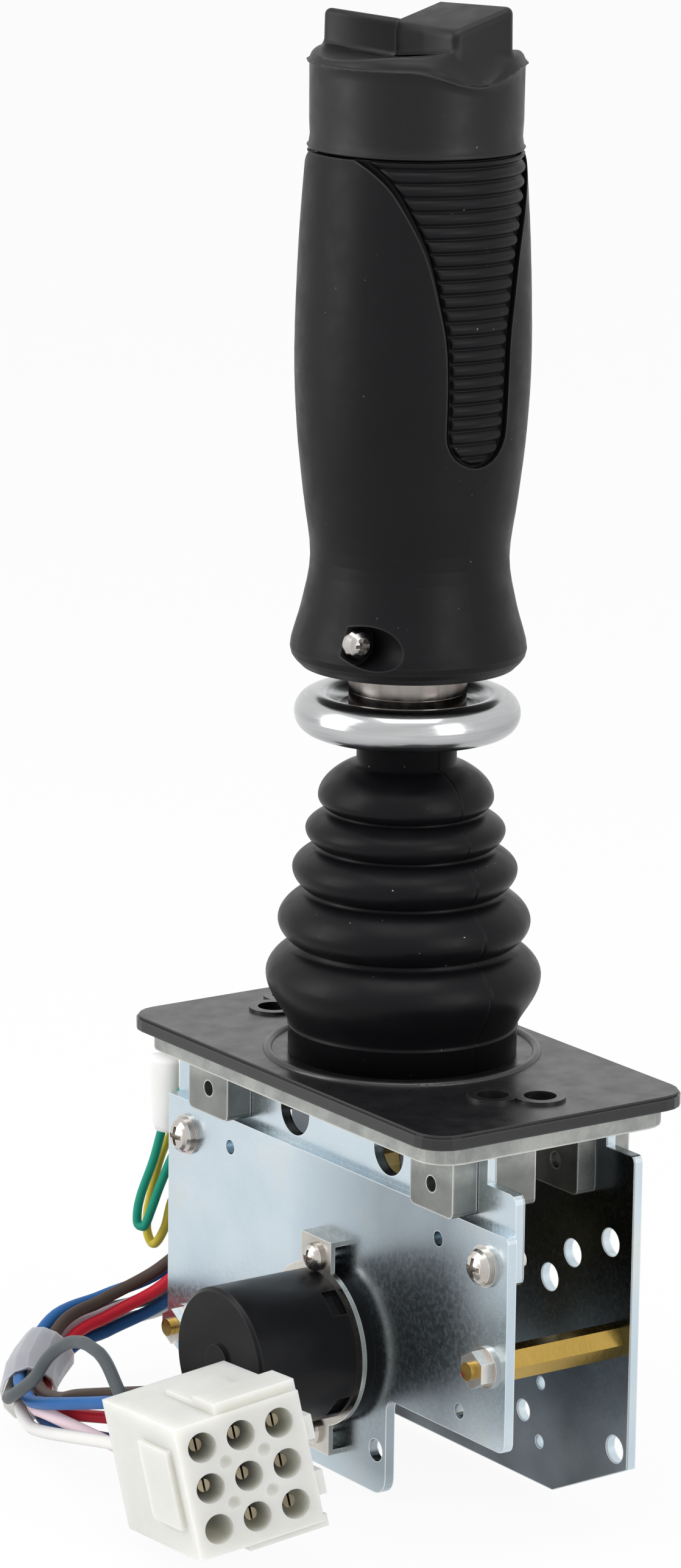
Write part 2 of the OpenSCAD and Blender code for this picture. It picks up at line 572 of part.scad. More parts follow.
// sector: teeth around "down", tilted towards the pinion
sector_each = 4;
module sector_gear() color([0.72, 0.56, 0.3]) translate([0, sector_y0 + 3.5, pivot_z])
    rotate([90, 0, 0]) linear_extrude(height = 3.5) rotate(-90 + mesh_tilt) difference() {
        polygon(concat([for (k = [-sector_each:sector_each])
            each tooth(sector_teeth, k * 360 / sector_teeth, 0.05)],
            corner(0, 0, hub_r, 60, 300, 16)));
        circle(r = spigot_r + slip);
        for (s = [-1, 1]) rotate(90 - mesh_tilt) translate([sector_screw_x * s, 0]) circle(r = 0.82, $fn = 24);
        rotate(-mesh_tilt) translate([drive_pin_rz, 0]) circle(r = post_r + slip, $fn = 32);
    }

module sector_screws() color("silver") for (s = [-1, 1])
    translate([sector_screw_x * s, sector_y0 - 0.02, pivot_z]) pan_screw(1.58, 6.6, 3, 0.9);

module drive_pin() color("silver")
    ycyl(post_r, sector_y0 - 0.3, barrel_y1 + 0.2, z = pivot_z - drive_pin_rz, fn = 32);

module anchor_post() color("silver") {
    ycyl(post_r, hub_y1 + 0.6, far_out_y, z = pivot_z - anchor_rz, fn = 32);
    ycyl(post_r + 1, far_y - 1.2, far_y - 0.02, z = pivot_z - anchor_rz, fn = 32);
}

// torsion spring round the hub barrel, its two legs straddling both posts
module centring_spring() color([0.35, 0.36, 0.38]) {
    leg_x = post_r + spring_wire / 2 + 0.1;
    half = asin(leg_x / coil_r);
    sweep_a = 1080 - 2 * half;
    y0 = hub_y1 + spring_wire / 2 + 0.3;
    y1 = barrel_y1 - spring_wire / 2;
    steps = 60;
    foot = pivot_z - anchor_rz - 2.4;
    coil = [for (i = [0:steps]) let (a = -90 - half - sweep_a * i / steps)
        [coil_r * cos(a), y0 + (y1 - y0) * i / steps, pivot_z + coil_r * sin(a)]];
    swept(concat([[-leg_x, y0, foot]], coil, [[leg_x, y1, foot]]), spring_wire, 6);
}

// ---------- position sensor ----------

module pinion() color([0.75, 0.6, 0.32]) translate([sensor_x, sector_y0 + 4, sensor_z])
    rotate([90, 0, 0]) difference() {
        linear_extrude(height = 4.5) rotate(90 + mesh_tilt + 180 / pinion_teeth)
            polygon([for (k = [0:pinion_teeth - 1]) each tooth(pinion_teeth, k * 360 / pinion_teeth, 0.05)]);
        translate([0, 0, -1]) cylinder(d = sensor_shaft_d - 1 + 2 * slip, h = 8);
    }

module sensor_shaft() color("silver") translate([sensor_x, 0, sensor_z]) {
    ycyl(sensor_shaft_d / 2, sensor_face_y - 2, sector_y0 - 0.6);
    ycyl(sensor_shaft_d / 2 - 0.5, sector_y0 - 1, sector_y0 + 4.6);
}

module sensor_body() color([0.1, 0.1, 0.11]) translate([sensor_x, 0, sensor_z]) difference() {
    union() {
        rotate([-90, 0, 0]) translate([0, 0, sensor_y]) rotate_extrude($fn = 64) polygon([[0, 0],
            [sensor_d / 2 - 0.6, 0], [sensor_d / 2, 0.6],
            [sensor_d / 2, sensor_face_y - sensor_y - clamp_stand - clamp_t],
            [sensor_d / 2 - 0.5, sensor_face_y - sensor_y - clamp_stand - clamp_t],
            [sensor_d / 2 - 0.5, sensor_face_y - sensor_y - clamp_stand],
            [sensor_d / 2 + 0.8, sensor_face_y - sensor_y - clamp_stand],
            [sensor_d / 2 + 0.8, sensor_face_y - sensor_y - 0.02],
            [0, sensor_face_y - sensor_y - 0.02]]);
        ycyl(3.2, sensor_y - 0.5, sensor_y + 1);
    }
    ycyl(sensor_shaft_d / 2 + run, sensor_face_y - 8, 0);
    for (a = [40, 130, 220, 320]) rotate([0, a, 0])
        translate([-2.4, sensor_face_y - clamp_stand - clamp_t - 3.2, sensor_d / 2 - 1.1]) cube([4.8, 2.9, 3]);
}

// flat ring leaf with two ears whose tips fold back to the plate
module sensor_clamp() color([0.78, 0.78, 0.76]) translate([sensor_x, 0, sensor_z]) {
    y1 = sensor_face_y - clamp_stand;
    y0 = y1 - clamp_t;
    ear = clamp_screw_dz + 3.4;
    difference() {
        union() {
            ycyl(sensor_d / 2 + 1.3, y0, y1 - 0.02, fn = 96);
            translate([-clamp_ear_half, y0, -ear]) cube([2 * clamp_ear_half, clamp_t - 0.02, 2 * ear]);
            for (s = [-1, 1]) translate([-clamp_ear_half, y0, s > 0 ? ear - clamp_t : -ear])
                cube([2 * clamp_ear_half, sensor_face_y - y0 - 0.02, clamp_t]);
        }
        ycyl(sensor_d / 2 - 0.5 + slip, -40, 0, fn = 96);
        for (s = [-1, 1]) ycyl(1.35, -40, 0, z = s * clamp_screw_dz);
    }
}

module clamp_screws() color("silver") for (s = [-1, 1])
    translate([sensor_x, sensor_face_y - clamp_stand - clamp_t - 0.02, sensor_z + s * clamp_screw_dz])
    pan_screw(2.46, 5.6, 4.8, 1.9);

// ---------- neutral lock ----------

// plate with two arched rails; each rail has a notch for the lock stud
module lock_gate() color([0.6, 0.6, 0.58]) {
    difference() {
        translate([0, 0, flange_z + 0.02]) cylinder(r = boot_base_r - boot_wall - 0.3, h = gate_t, $fn = 64);
        translate([0, 0, flange_z - 1]) linear_extrude(height = 5)
            polygon(round_rect(2 * slot_half_x, 2 * slot_half_y, slot_half_y - 0.1));
        for (s = [-1, 1]) translate([0, s * 13.2, -9]) cylinder(r = 1.2, h = 12);
    }
    for (s = [-1, 1]) intersection() {
        difference() {
            translate([0, s > 0 ? gate_y0 : -gate_y1, pivot_z]) rotate([-90, 0, 0])
                cylinder(r = gate_r, h = gate_y1 - gate_y0, $fn = 96);
            translate([-1.7, -20, pivot_z + gate_r - 1.6]) cube([3.4, 40, 5]);
        }
        translate([-10, -12, flange_z + gate_t - 0.1]) cube([20, 24, 6]);
    }
}

module gate_screws() color("silver") for (s = [-1, 1])
    translate([0, s * 13.2, flange_z + gate_t + 0.04]) rotate([-90, 0, 0]) pan_screw(2, 4.5, 3.6, 1.2);

module lock_sleeve() color([0.75, 0.75, 0.73]) difference() {
    rotate_extrude($fn = 64) polygon([[tube_d / 2 + run, stud_z - 1.7],
        [sleeve_d / 2, stud_z - 1.7], [sleeve_d / 2, ring_z - 3],
        [collar_d / 2 - 0.1, ring_z - 3], [collar_d / 2 - 0.1, collar_step_z],
        [collar_d / 2 - 0.35, collar_step_z], [collar_d / 2 - 0.35, collar_step_z + 0.2],
        [collar_d / 2, collar_step_z + 0.2], [collar_d / 2, collar_top_z],
        [tube_d / 2 + run, collar_top_z]]);
    ycyl(1.5 + slip, -20, 20, z = stud_z, fn = 32);
}

module lock_studs() color("silver") {
    ycyl(1.5, -gate_y1 + 0.3, -tube_d / 2 - 0.15, z = stud_z, fn = 32);
    ycyl(1.5, tube_d / 2 + 0.15, gate_y1 - 0.3, z = stud_z, fn = 32);
}

module lift_ring() color([0.86, 0.87, 0.88]) difference() {
    union() {
        translate([0, 0, ring_z]) rotate_extrude($fn = 96) translate([ring_c, 0])
            circle(r = bead_d / 2, $fn = 32);
        translate([0, 0, ring_z - 2.6]) cylinder(r = ring_c, h = 3.6, $fn = 96);
    }
    translate([0, 0, ring_z - 3.4]) cylinder(r = collar_d / 2 - 0.1 + slip, h = 9, $fn = 64);
}

module lock_spring() color([0.4, 0.4, 0.42]) {
    turns = 5;
    z0 = collar_top_z + 0.55;
    z1 = collar_top_z + spring_room - 0.6;
    r = (tube_d / 2 + collar_d / 2) / 2;
    swept([for (i = [0:turns * 14]) let (a = i * 360 / 14)
        [r * cos(a), r * sin(a), z0 + (z1 - z0) * i / (turns * 14)]], 1, 6);
}

// ---------- grip ----------

grip_line = spline([[grip_z0, flare_r - 1.8], [grip_z0 + 2.9, flare_r], [75.5, 17.6], [83.6, waist_r],
    [93.7, 17.5], [105, barrel_r - 0.5], [117.5, barrel_r], [135, barrel_r - 0.5], [seam_z - 0.9, seam_r]], 4);

// solid of the grip's outline moved in by d
module grip_form(d) rotate_extrude($fn = 96)
    polygon(concat([[0, grip_z0]], [for (p = grip_line) [p[1] - d, p[0]]], [[0, seam_z - 0.9]]));

// outline of the ribbed pad in the YZ plane, d smaller all round
inlay_foot_z = 106.5;
inlay_half = 5.9;
function inlay_side(d) = [for (p = spline([[inlay_foot_z, inlay_half], [119.5, 6.2], [127, 7.4],
    [135, 9.2], [142, 11.9], [146.4, 14], [seam_z + 0.5, 17.6]], 3)) [p[1] - d, p[0]]];
module inlay_outline(d) {
    right = inlay_side(d);
    polygon(concat([for (a = [180:15:360]) [(inlay_half - d) * cos(a), inlay_foot_z + (inlay_half - d) * sin(a)]],
        right, [for (i = [len(right) - 1:-1:0]) [-right[i][0], right[i][1]]]));
}
module inlay_prism(s, d) rotate([0, 0, s > 0 ? 0 : 180]) translate([5, 0, 0])
    rotate([90, 0, 90]) linear_extrude(height = 20) inlay_outline(d);

module grip_body() color([0.16, 0.16, 0.17]) difference() {
    grip_form(0);
    for (s = [-1, 1]) difference() {
        inlay_prism(s, 0);
        grip_form(inlay_t);
    }
    translate([0, 0, grip_z0 - 1]) cylinder(d = tube_d + 2 * slip, h = grip_bore_top - grip_z0 + 1);
    translate([0, 0, grip_z0 - 1]) cylinder(r = collar_d / 2 + 0.15, h = collar_top_z + spring_room - grip_z0 + 1);
    translate([0, 0, switch_z0 - 0.05]) cylinder(r = switch_r + slip, h = 40);
    translate([0, 0, grip_bore_top - 1]) cylinder(r = 4.5, h = 40);
    grip_screw_at() {
        rotate([0, 90, 0]) cylinder(d = 6.9, h = 30);
        translate([-9, 0, 0]) rotate([0, 90, 0]) cylinder(d = 2.8 + 2 * slip, h = 30);
    }
}

screw_y = -15;
module grip_screw_at() translate([6.4, screw_y, 71.4]) children();

module grip_screw() color([0.25, 0.25, 0.26]) grip_screw_at() difference() {
    rotate([0, 90, 0]) {
        rotate_extrude() polygon([[0, -8.5], [1.4, -8.5], [1.4, 0.02], [2.6, 0.02], [2.6, 0.7],
            [2.2, 1.5], [1.4, 2.0], [0, 2.15]]);
    }
    for (a = [0:60:120]) rotate([a, 0, 0]) translate([1, -1.35, -0.3]) cube([3, 2.7, 0.6]);
}

module grip_inlays() color([0.12, 0.12, 0.13]) for (s = [-1, 1]) {
    intersection() {
        inlay_prism(s, 0.35);
        difference() {
            grip_form(0.95);
            grip_form(inlay_t + 0);
        }
    }
    intersection() {
        inlay_prism(s, 0.7);
        inlay_ribs();
    }
}

rib_pitch = (seam_z - inlay_foot_z + 2) / rib_count;
function grip_r(z) = lookup(z, [for (p = grip_line) [p[0], p[1]]]);
module inlay_ribs() for (i = [0:rib_count - 1]) {
    z = inlay_foot_z - 3 + i * rib_pitch;
    r = grip_r(z);
    rotate_extrude($fn = 96) polygon([[r - 1.05, z - 0.75], [r - 0.25, z - 0.45], [r - 0.25, z + 0.45],
        [r - 1.05, z + 0.75]]);
}

// ---------- thumb switch ----------

switch_r = 14;
switch_z0 = 128;

module switch_body() color([0.2, 0.2, 0.22]) difference() {
    union() {
        translate([0, 0, switch_z0]) cylinder(r = switch_r, h = seam_z - switch_z0);
        for (s = [-1, 1]) translate([s > 0 ? 9.2 : -12.2, -3.5, seam_z - 1])
            cube([3, 7, rocker_pin_z - seam_z + 4]);
    }
    translate([0, 0, switch_z0 - 1]) cylinder(r = 3.6, h = 8);
    rocker_hole();
}
module rocker_hole() translate([-30, 0, rocker_pin_z]) rotate([0, 90, 0]) cylinder(r = 1.25 + slip, h = 60);

module rocker_pin() color("silver") translate([-12.1, 0, rocker_pin_z]) rotate([0, 90, 0])
    cylinder(r = 1.25, h = 24.2);

module thumb_rocker() color([0.3, 0.3, 0.32]) difference() {
    union() {
        translate([-8.8, -10, rocker_pin_z + 1.6]) cube([17.6, 20, 1.9]);
        translate([-8.8, -3, rocker_pin_z - 2.2]) cube([17.6, 6, 5]);
    }
    translate([-30, 0, rocker_pin_z]) rotate([0, 90, 0]) cylinder(r = 1.25 + run, h = 60);
}

// rubber cap: skirt and dished deck, a scoop at each end, then two thumb blocks
module switch_cap() color([0.14, 0.14, 0.15]) difference() {
    union() {
        difference() {
            rotate_extrude($fn = 96) polygon([[0, seam_z - 0.9], [cap_r + 0.3, seam_z - 0.9],
                [cap_r + 0.5, seam_z - 0.3], [cap_r, seam_z], [cap_r + 0.1, cap_rim_z - 0.4],
                [cap_r + 0.7, cap_rim_z], [cap_r + 0.1, cap_rim_z + 0.4], [cap_r - 0.5, cap_rim_z + 1.4],
                [cap_r - 1.6, cap_rim_z + 2.4], [cap_r - 3.2, cap_rim_z + 3.7], [0, cap_rim_z + 3.7]]);
            ycyl(deck_bend_r, -30, 30, z = deck_z + deck_bend_r, fn = 180);
            for (s = [-1, 1]) ycyl(scoop_r, -30, 30, x = s * scoop_x, z = cap_rim_z + 7.9, fn = 96);
        }
        thumb_block(7.9, 16.7, 4.9);
        rotate([0, 0, 180]) thumb_block(6.1, 12.4, 1.2);
    }
    translate([0, 0, seam_z - 2]) cylinder(r = cap_r - cap_wall, h = cap_rim_z - cap_wall - seam_z + 2);
}

// block that widens towards +X; its sloping top stands h above the rim at the middle
module thumb_block(h, rise, fall) intersection() {
    translate([0, 0, cap_rim_z - 1]) linear_extrude(height = 20) polygon(concat(
        [[-0.02, -ridge_w / 2], [0, -ridge_w / 2]],
        corner(block_x - 1, 3.14 - ridge_w / 2, 1, -82, 0, 4),
        corner(block_x - 1, 3.22 + ridge_w / 2, 1, 0, 108, 4),
        [[0, ridge_w / 2], [-0.02, ridge_w / 2]]));
    translate([0, 0, cap_rim_z + h]) rotate([rise, fall, 0]) translate([-30, -30, -30]) cube([60, 60, 30]);
}

// ---------- connector and wires ----------

module wire_clip() color([0.9, 0.9, 0.88]) difference() {
    translate([clip_x, strip_y0 + 0.02, standoff_left[1] - 3.6]) cube(clip_size);
    at_standoffs() ycyl(standoff_af / 2 / cos(30) + 0.1, -20, 20, fn = 6);
    for (k = [0:6]) translate([clip_x - 1, bundle_at[0] + (k > 0 ? bundle_pitch * cos(60 * k) : 0),
        bundle_at[1] + (k > 0 ? bundle_pitch * sin(60 * k) : 0)])
        rotate([0, 90, 0]) cylinder(d = wire_d + 0.2, h = 5, $fn = 24);
}

housing_w = 3 * pitch + 1.6;
housing_at = [39, -56, -52.5];         // middle of the mating face
housing_turn = [9.5, -8, -9.6];
cavity_d = 4.9;

module in_housing() translate(housing_at) rotate(housing_turn) children();

module connector_housing() color([0.93, 0.93, 0.9]) in_housing() difference() {
    union() {
        translate([-housing_l, -housing_w / 2, -housing_w / 2]) cube([housing_l, housing_w, housing_w]);
        // raised latch step on top, ribs on both sides, lip below
        translate([-9, -3.4, housing_w / 2 - 0.5]) cube([8.2, housing_w / 2 + 3.4, 2.3]);
        translate([-20, -3.4, housing_w / 2 - 0.5]) cube([11.5, 9, 1.4]);
        translate([-14, -housing_w / 2 - 1.1, -6]) cube([11, 2, 13]);
        for (z = [-6.8, 2.4]) translate([-12, housing_w / 2 - 0.5, z]) cube([11.4, 2.1, 4]);
        translate([-7, -2, -housing_w / 2 - 1.2]) cube([6, housing_w / 2 + 3, 2]);
    }
    for (i = [-1:1], j = [-1:1]) translate([0, i * pitch, j * pitch]) rotate([0, -90, 0]) {
        translate([0, 0, -1]) cylinder(d = cavity_d, h = 13);
        cylinder(d = 3.2, h = 40);
    }
    for (i = [-0.5, 0.5], j = [-0.5, 0.5]) translate([0.6, i * pitch, j * pitch])
        sphere(r = 1.3, $fn = 24);
}

// eight contacts; one cavity of the bottom row is left empty
module connector_pins() color([0.72, 0.66, 0.52]) in_housing()
    for (i = [-1:1], j = [-1:1]) if (!(i == -1 && j == -1))
        translate([-10, i * pitch, j * pitch]) rotate([0, -90, 0]) difference() {
            union() {
                translate([0, 0, -7.2]) cylinder(d = 2.1, h = 8);
                cylinder(d = 3.16, h = 9);
            }
            translate([-2, -0.18, -8]) cube([4, 0.36, 4]);
        }

module wire_blue() color([0.16, 0.38, 0.68]) swept(wire_blue_route, wire_d);
module wire_brown() color([0.36, 0.26, 0.22]) swept(wire_brown_route, wire_d);
module wire_red() color([0.78, 0.1, 0.16]) swept(wire_red_route, wire_d);
module wire_navy() color([0.08, 0.2, 0.42]) swept(wire_navy_route, wire_d);
module wire_grey() color([0.33, 0.36, 0.38]) swept(wire_grey_route, wire_d);
module wire_white() color([0.9, 0.9, 0.88]) swept(wire_white_route, wire_d);
module wire_pink() color([0.92, 0.72, 0.78]) swept(wire_pink_route, wire_d);
// milky tape that holds the bundle together where it turns back
module bundle_tape() color([0.9, 0.9, 0.88]) {
    n = len(tape_line);
    m = n * 12;
    outer = [for (i = [0:n - 2], k = [0:11]) let (q = (k + 1) % 12)
        [i * 12 + k, i * 12 + q, (i + 1) * 12 + q, (i + 1) * 12 + k]];
    inner = [for (f = outer) [for (j = [3:-1:0]) f[j] + m]];
    first = [for (k = [0:11]) let (q = (k + 1) % 12) [q, k, k + m, q + m]];
    last = [for (f = first) [for (j = [3:-1:0]) f[j] + m - 12]];
    polyhedron(points = concat(rings_along(tape_line, tape_bore + 0.7, 12),
        rings_along(tape_line, tape_bore, 12)), faces = concat(outer, inner, first, last), convexity = 4);
}
module wire_green() color([0.1, 0.55, 0.42]) swept(wire_green_route, thin_wire_d);
module wire_yellow() color([0.8, 0.7, 0.2]) swept(wire_yellow_route, thin_wire_d);

mounting_flange();
gasket_pad();
boot_bellows();
near_side_plate();
sensor_plate();
far_side_plate();
lug_pins();
plate_screws();
plate_washers();
plate_nuts();
standoffs();
standoff_nuts();
standoff_washers();
standoff_screws();
pivot_bushes();
pivot_axle();
axle_clips();
lever_hub();
lever_tube();
sector_gear();
sector_screws();
drive_pin();
anchor_post();
centring_spring();
pinion();
sensor_shaft();
sensor_body();
sensor_clamp();
clamp_screws();
lock_gate();
gate_screws();
lock_sleeve();
lock_studs();
lift_ring();
lock_spring();
grip_body();
grip_inlays();
grip_screw();
switch_body();
thumb_rocker();
rocker_pin();
switch_cap();
wire_clip();
connector_housing();
connector_pins();
wire_blue();
wire_brown();
wire_red();
wire_navy();
wire_grey();
wire_white();
wire_pink();
wire_green();
wire_yellow();
bundle_tape();
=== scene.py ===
"""Looks of the industrial joystick: finishes, wires, boot, ribbed pads and thumb cap.

All is in the part's own frame: the lever's axis at the gasket's top face is the
origin, +X is the way the lever tilts, +Y the pivot axis, +Z up. Sizes of shapes are
in millimetres, and MM turns them into metres where a mesh is made.
"""

import json
import math

import bmesh
import bpy
from mathutils import Matrix, Vector


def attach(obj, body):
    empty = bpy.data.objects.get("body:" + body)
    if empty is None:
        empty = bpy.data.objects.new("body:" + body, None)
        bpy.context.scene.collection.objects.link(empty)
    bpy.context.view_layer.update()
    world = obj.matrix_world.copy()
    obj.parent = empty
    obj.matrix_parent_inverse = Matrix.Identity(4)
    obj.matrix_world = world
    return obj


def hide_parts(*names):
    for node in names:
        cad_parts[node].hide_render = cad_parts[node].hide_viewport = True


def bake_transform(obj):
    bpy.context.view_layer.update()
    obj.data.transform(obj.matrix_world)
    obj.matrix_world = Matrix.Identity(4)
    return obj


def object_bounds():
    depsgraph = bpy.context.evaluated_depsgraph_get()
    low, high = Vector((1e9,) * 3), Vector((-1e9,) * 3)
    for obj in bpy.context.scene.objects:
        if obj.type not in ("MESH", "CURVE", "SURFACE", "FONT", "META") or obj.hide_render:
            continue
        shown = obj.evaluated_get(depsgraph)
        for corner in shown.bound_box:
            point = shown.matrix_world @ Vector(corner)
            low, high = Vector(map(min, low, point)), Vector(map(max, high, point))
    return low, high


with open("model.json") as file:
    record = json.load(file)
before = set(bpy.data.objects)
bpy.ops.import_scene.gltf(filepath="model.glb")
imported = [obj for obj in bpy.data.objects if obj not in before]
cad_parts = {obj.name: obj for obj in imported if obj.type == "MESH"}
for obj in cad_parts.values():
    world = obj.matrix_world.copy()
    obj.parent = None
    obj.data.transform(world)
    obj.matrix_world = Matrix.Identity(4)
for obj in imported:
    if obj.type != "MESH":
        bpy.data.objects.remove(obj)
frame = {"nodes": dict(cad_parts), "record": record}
cad_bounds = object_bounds()
MM = 0.001

# --------------------------------------------------------------- camera

CAMERA_AZIMUTH = math.radians(55.25)
CAMERA_ELEVATION = math.radians(13.64)
CAMERA_ROLL = math.radians(0.745)
CAMERA_DISTANCE = 1022.4 * MM
CAMERA_ASIDE = (10.87 * MM, -38.53 * MM)
LENS, SENSOR_WIDTH = 141.25, 36
SHIFT = (0.0025, 0.0205)


def make_camera():
    """Camera at the photograph's place, from azimuth, elevation and roll."""
    az, el, roll = CAMERA_AZIMUTH, CAMERA_ELEVATION, CAMERA_ROLL
    back = Vector((math.sin(az) * math.cos(el), -math.cos(az) * math.cos(el), math.sin(el)))
    level = Vector((math.cos(az), math.sin(az), 0))
    rise = back.cross(level)
    right = math.cos(roll) * level + math.sin(roll) * rise
    up = -math.sin(roll) * level + math.cos(roll) * rise
    place = back * CAMERA_DISTANCE - right * CAMERA_ASIDE[0] - up * CAMERA_ASIDE[1]
    data = bpy.data.cameras.new("camera")
    data.lens = LENS
    data.sensor_width = SENSOR_WIDTH
    data.shift_x, data.shift_y = SHIFT
    data.clip_start, data.clip_end = 0.05, 10
    camera = bpy.data.objects.new("camera", data)
    turn = Matrix((right, up, back)).transposed().to_4x4()
    camera.matrix_world = Matrix.Translation(place) @ turn
    bpy.context.scene.collection.objects.link(camera)
    bpy.context.scene.camera = camera


make_camera()

# --------------------------------------------------------------- materials

# sockets of a colour mix node: its two colours and its result
MIX_A, MIX_B, MIX_RESULT = 6, 7, 2

DUST = (0.45, 0.45, 0.44)
# the stretch of turned metal's scratches, and of the contacts'
TURNED, DRAWN = (1, 14, 1), (1, 14, 14)


class Nodes:
    """A material's node tree, with short calls to add and join nodes."""

    def __init__(self, name):
        self.material = bpy.data.materials.new(name)
        self.material.use_nodes = True
        self.tree = self.material.node_tree
        self.tree.nodes.clear()
        self.out = self.add("ShaderNodeOutputMaterial")
        self.shader = self.add("ShaderNodeBsdfPrincipled")
        self.join(self.shader, "BSDF", self.out, "Surface")
        self.place = self.add("ShaderNodeNewGeometry")

    def add(self, kind, **sockets):
        node = self.tree.nodes.new(kind)
        for key, value in sockets.items():
            node.inputs[key.replace("_", " ")].default_value = value
        return node

    def join(self, a, out, b, into):
        self.tree.links.new(a.outputs[out], b.inputs[into])

    def noise(self, scale, detail=3.0, rough=0.55, stretch=None):
        """Noise on the position in the frame, so that it needs no UVs."""
        noise = self.add("ShaderNodeTexNoise", Scale=scale, Detail=detail, Roughness=rough)
        source = (self.place, "Position")
        if stretch:
            mapping = self.add("ShaderNodeMapping")
            mapping.inputs["Scale"].default_value = stretch
            self.join(*source, mapping, "Vector")
            source = (mapping, "Vector")
        self.join(*source, noise, "Vector")
        return noise

    def ramp(self, source, out, low, high, a, b):
        """Maps source from low..high to a..b, and stops at both ends."""
        ramp = self.add("ShaderNodeMapRange")
        for key, value in (("From Min", low), ("From Max", high), ("To Min", a), ("To Max", b)):
            ramp.inputs[key].default_value = value
        self.join(source, out, ramp, "Value")
        return ramp

    def tint(self, source, out, dark, light):
        """Colour between dark and light, driven by source."""
        mix = self.add("ShaderNodeMix")
        mix.data_type = "RGBA"
        mix.inputs[MIX_A].default_value = (*dark, 1)
        mix.inputs[MIX_B].default_value = (*light, 1)
        self.tree.links.new(source.outputs[out], mix.inputs[0])
        return mix

    def over(self, under, colour, mask, out):
        """Colour laid over an earlier mix where mask is 1."""
        mix = self.add("ShaderNodeMix")
        mix.data_type = "RGBA"
        self.tree.links.new(under.outputs[MIX_RESULT], mix.inputs[MIX_A])
        mix.inputs[MIX_B].default_value = (*colour, 1)
        self.tree.links.new(mask.outputs[out], mix.inputs[0])
        return mix

    def colour(self, mix):
        self.tree.links.new(mix.outputs[MIX_RESULT], self.shader.inputs["Base Color"])

    def roughness(self, noise, low, high, a, b):
        """Roughness from a to b as the noise goes from low to high."""
        self.join(self.ramp(noise, "Fac", low, high, a, b), "Result", self.shader, "Roughness")

    def bump(self, source, out, strength, depth, after=None):
        """Bumps from source, laid over those of an earlier node."""
        bump = self.add("ShaderNodeBump", Strength=strength, Distance=depth)
        self.join(source, out, bump, "Height")
        if after:
            self.join(after, "Normal", bump, "Normal")
        self.join(bump, "Normal", self.shader, "Normal")
        return bump

    def edges(self, radius):
        """1 on worn edges: where a rounded normal leaves the true one."""
        bevel = self.add("ShaderNodeBevel", Radius=radius)
        bevel.samples = 4
        dot = self.add("ShaderNodeVectorMath")
        dot.operation = "DOT_PRODUCT"
        self.join(bevel, "Normal", dot, 0)
        self.join(self.place, "Normal", dot, 1)
        return self.ramp(dot, "Value", 0.995, 0.90, 0.0, 1.0)

    def reach(self, axis, low, high):
        """0 to 1 as the place along an axis goes from low to high, in mm."""
        split = self.add("ShaderNodeSeparateXYZ")
        self.join(self.place, "Position", split, "Vector")
        return self.ramp(split, axis, low * MM, high * MM, 0.0, 1.0)

    def times(self, a, b, operation="MULTIPLY"):
        """Product of the first outputs of two nodes, or another operation."""
        both = self.add("ShaderNodeMath")
        both.operation = operation
        self.tree.links.new(a.outputs[0], both.inputs[0])
        self.tree.links.new(b.outputs[0], both.inputs[1])
        return both

    def rings(self, centre, radii, width):
        """1 on circles of some radii about a line along Y, else 0; in mm."""
        flat = self.add("ShaderNodeVectorMath")
        flat.operation = "MULTIPLY"
        flat.inputs[1].default_value = (1, 0, 1)
        self.join(self.place, "Position", flat, 0)
        away = self.add("ShaderNodeVectorMath")
        away.operation = "DISTANCE"
        away.inputs[1].default_value = (centre[0] * MM, 0, centre[1] * MM)
        self.join(flat, "Vector", away, 0)
        total = None
        for radius in radii:
            off = self.add("ShaderNodeMath")
            off.operation = "COMPARE"
            off.inputs[1].default_value = radius * MM
            off.inputs[2].default_value = width * MM
            self.join(away, "Value", off, 0)
            total = self.times(total, off, "MAXIMUM") if total else off
        return total

    def set(self, **values):
        for key, value in values.items():
            self.shader.inputs[key.replace("_", " ")].default_value = value


def moulded(name, dark, light, rough, grain=9000, wear=None, spec=0.12, dust=0.0):
    """Moulded rubber or plastic: cloudy colour, fine grain, worn edges, specks of dust."""
    n = Nodes(name)
    mix = n.tint(n.noise(60, 4), "Fac", dark, light)
    if wear:
        mix = n.over(mix, wear, n.edges(0.0005), "Result")
    if dust:
        specks = n.ramp(n.noise(1500, 1, 0.4), "Fac", 0.80, 0.84, 0.0, dust)
        mix = n.over(mix, DUST, specks, "Result")
    n.colour(mix)
    n.roughness(n.noise(220, 3), 0.3, 0.7, rough - 0.07, rough + 0.07)
    n.bump(n.noise(grain, 2), "Fac", 0.25, 0.00003)
    n.set(Specular_IOR_Level=spec)
    return n.material


def metal(
    name, dark, light, rough, scratch=None, grain=400, depth=0.00002, edge=None, painted_reflection_bands=None
):
    """Bare or plated metal: cloudy tone, fine scratches, brighter edges.

    scratch stretches the scratches, so that turned metal shows streaks round it; the tone can be
    stretched too, into streaks of painted reflection. edge is the colour of worn edges.
    """
    n = Nodes(name)
    # the cloudy tone; where it is stretched, its streaks are painted reflections
    cloud = n.ramp(n.noise(90, 4, stretch=painted_reflection_bands), "Fac", 0.36, 0.64, 0, 1)
    mix = n.tint(cloud, "Result", dark, light)
    if edge:
        mix = n.over(mix, edge, n.edges(0.0003), "Result")
    n.colour(mix)
    lines = n.noise(grain, 3, stretch=scratch)
    n.roughness(lines, 0.3, 0.7, rough - 0.06, rough + 0.08)
    n.bump(lines, "Fac", 0.2, depth)
    n.set(Metallic=1.0)
    return n.material


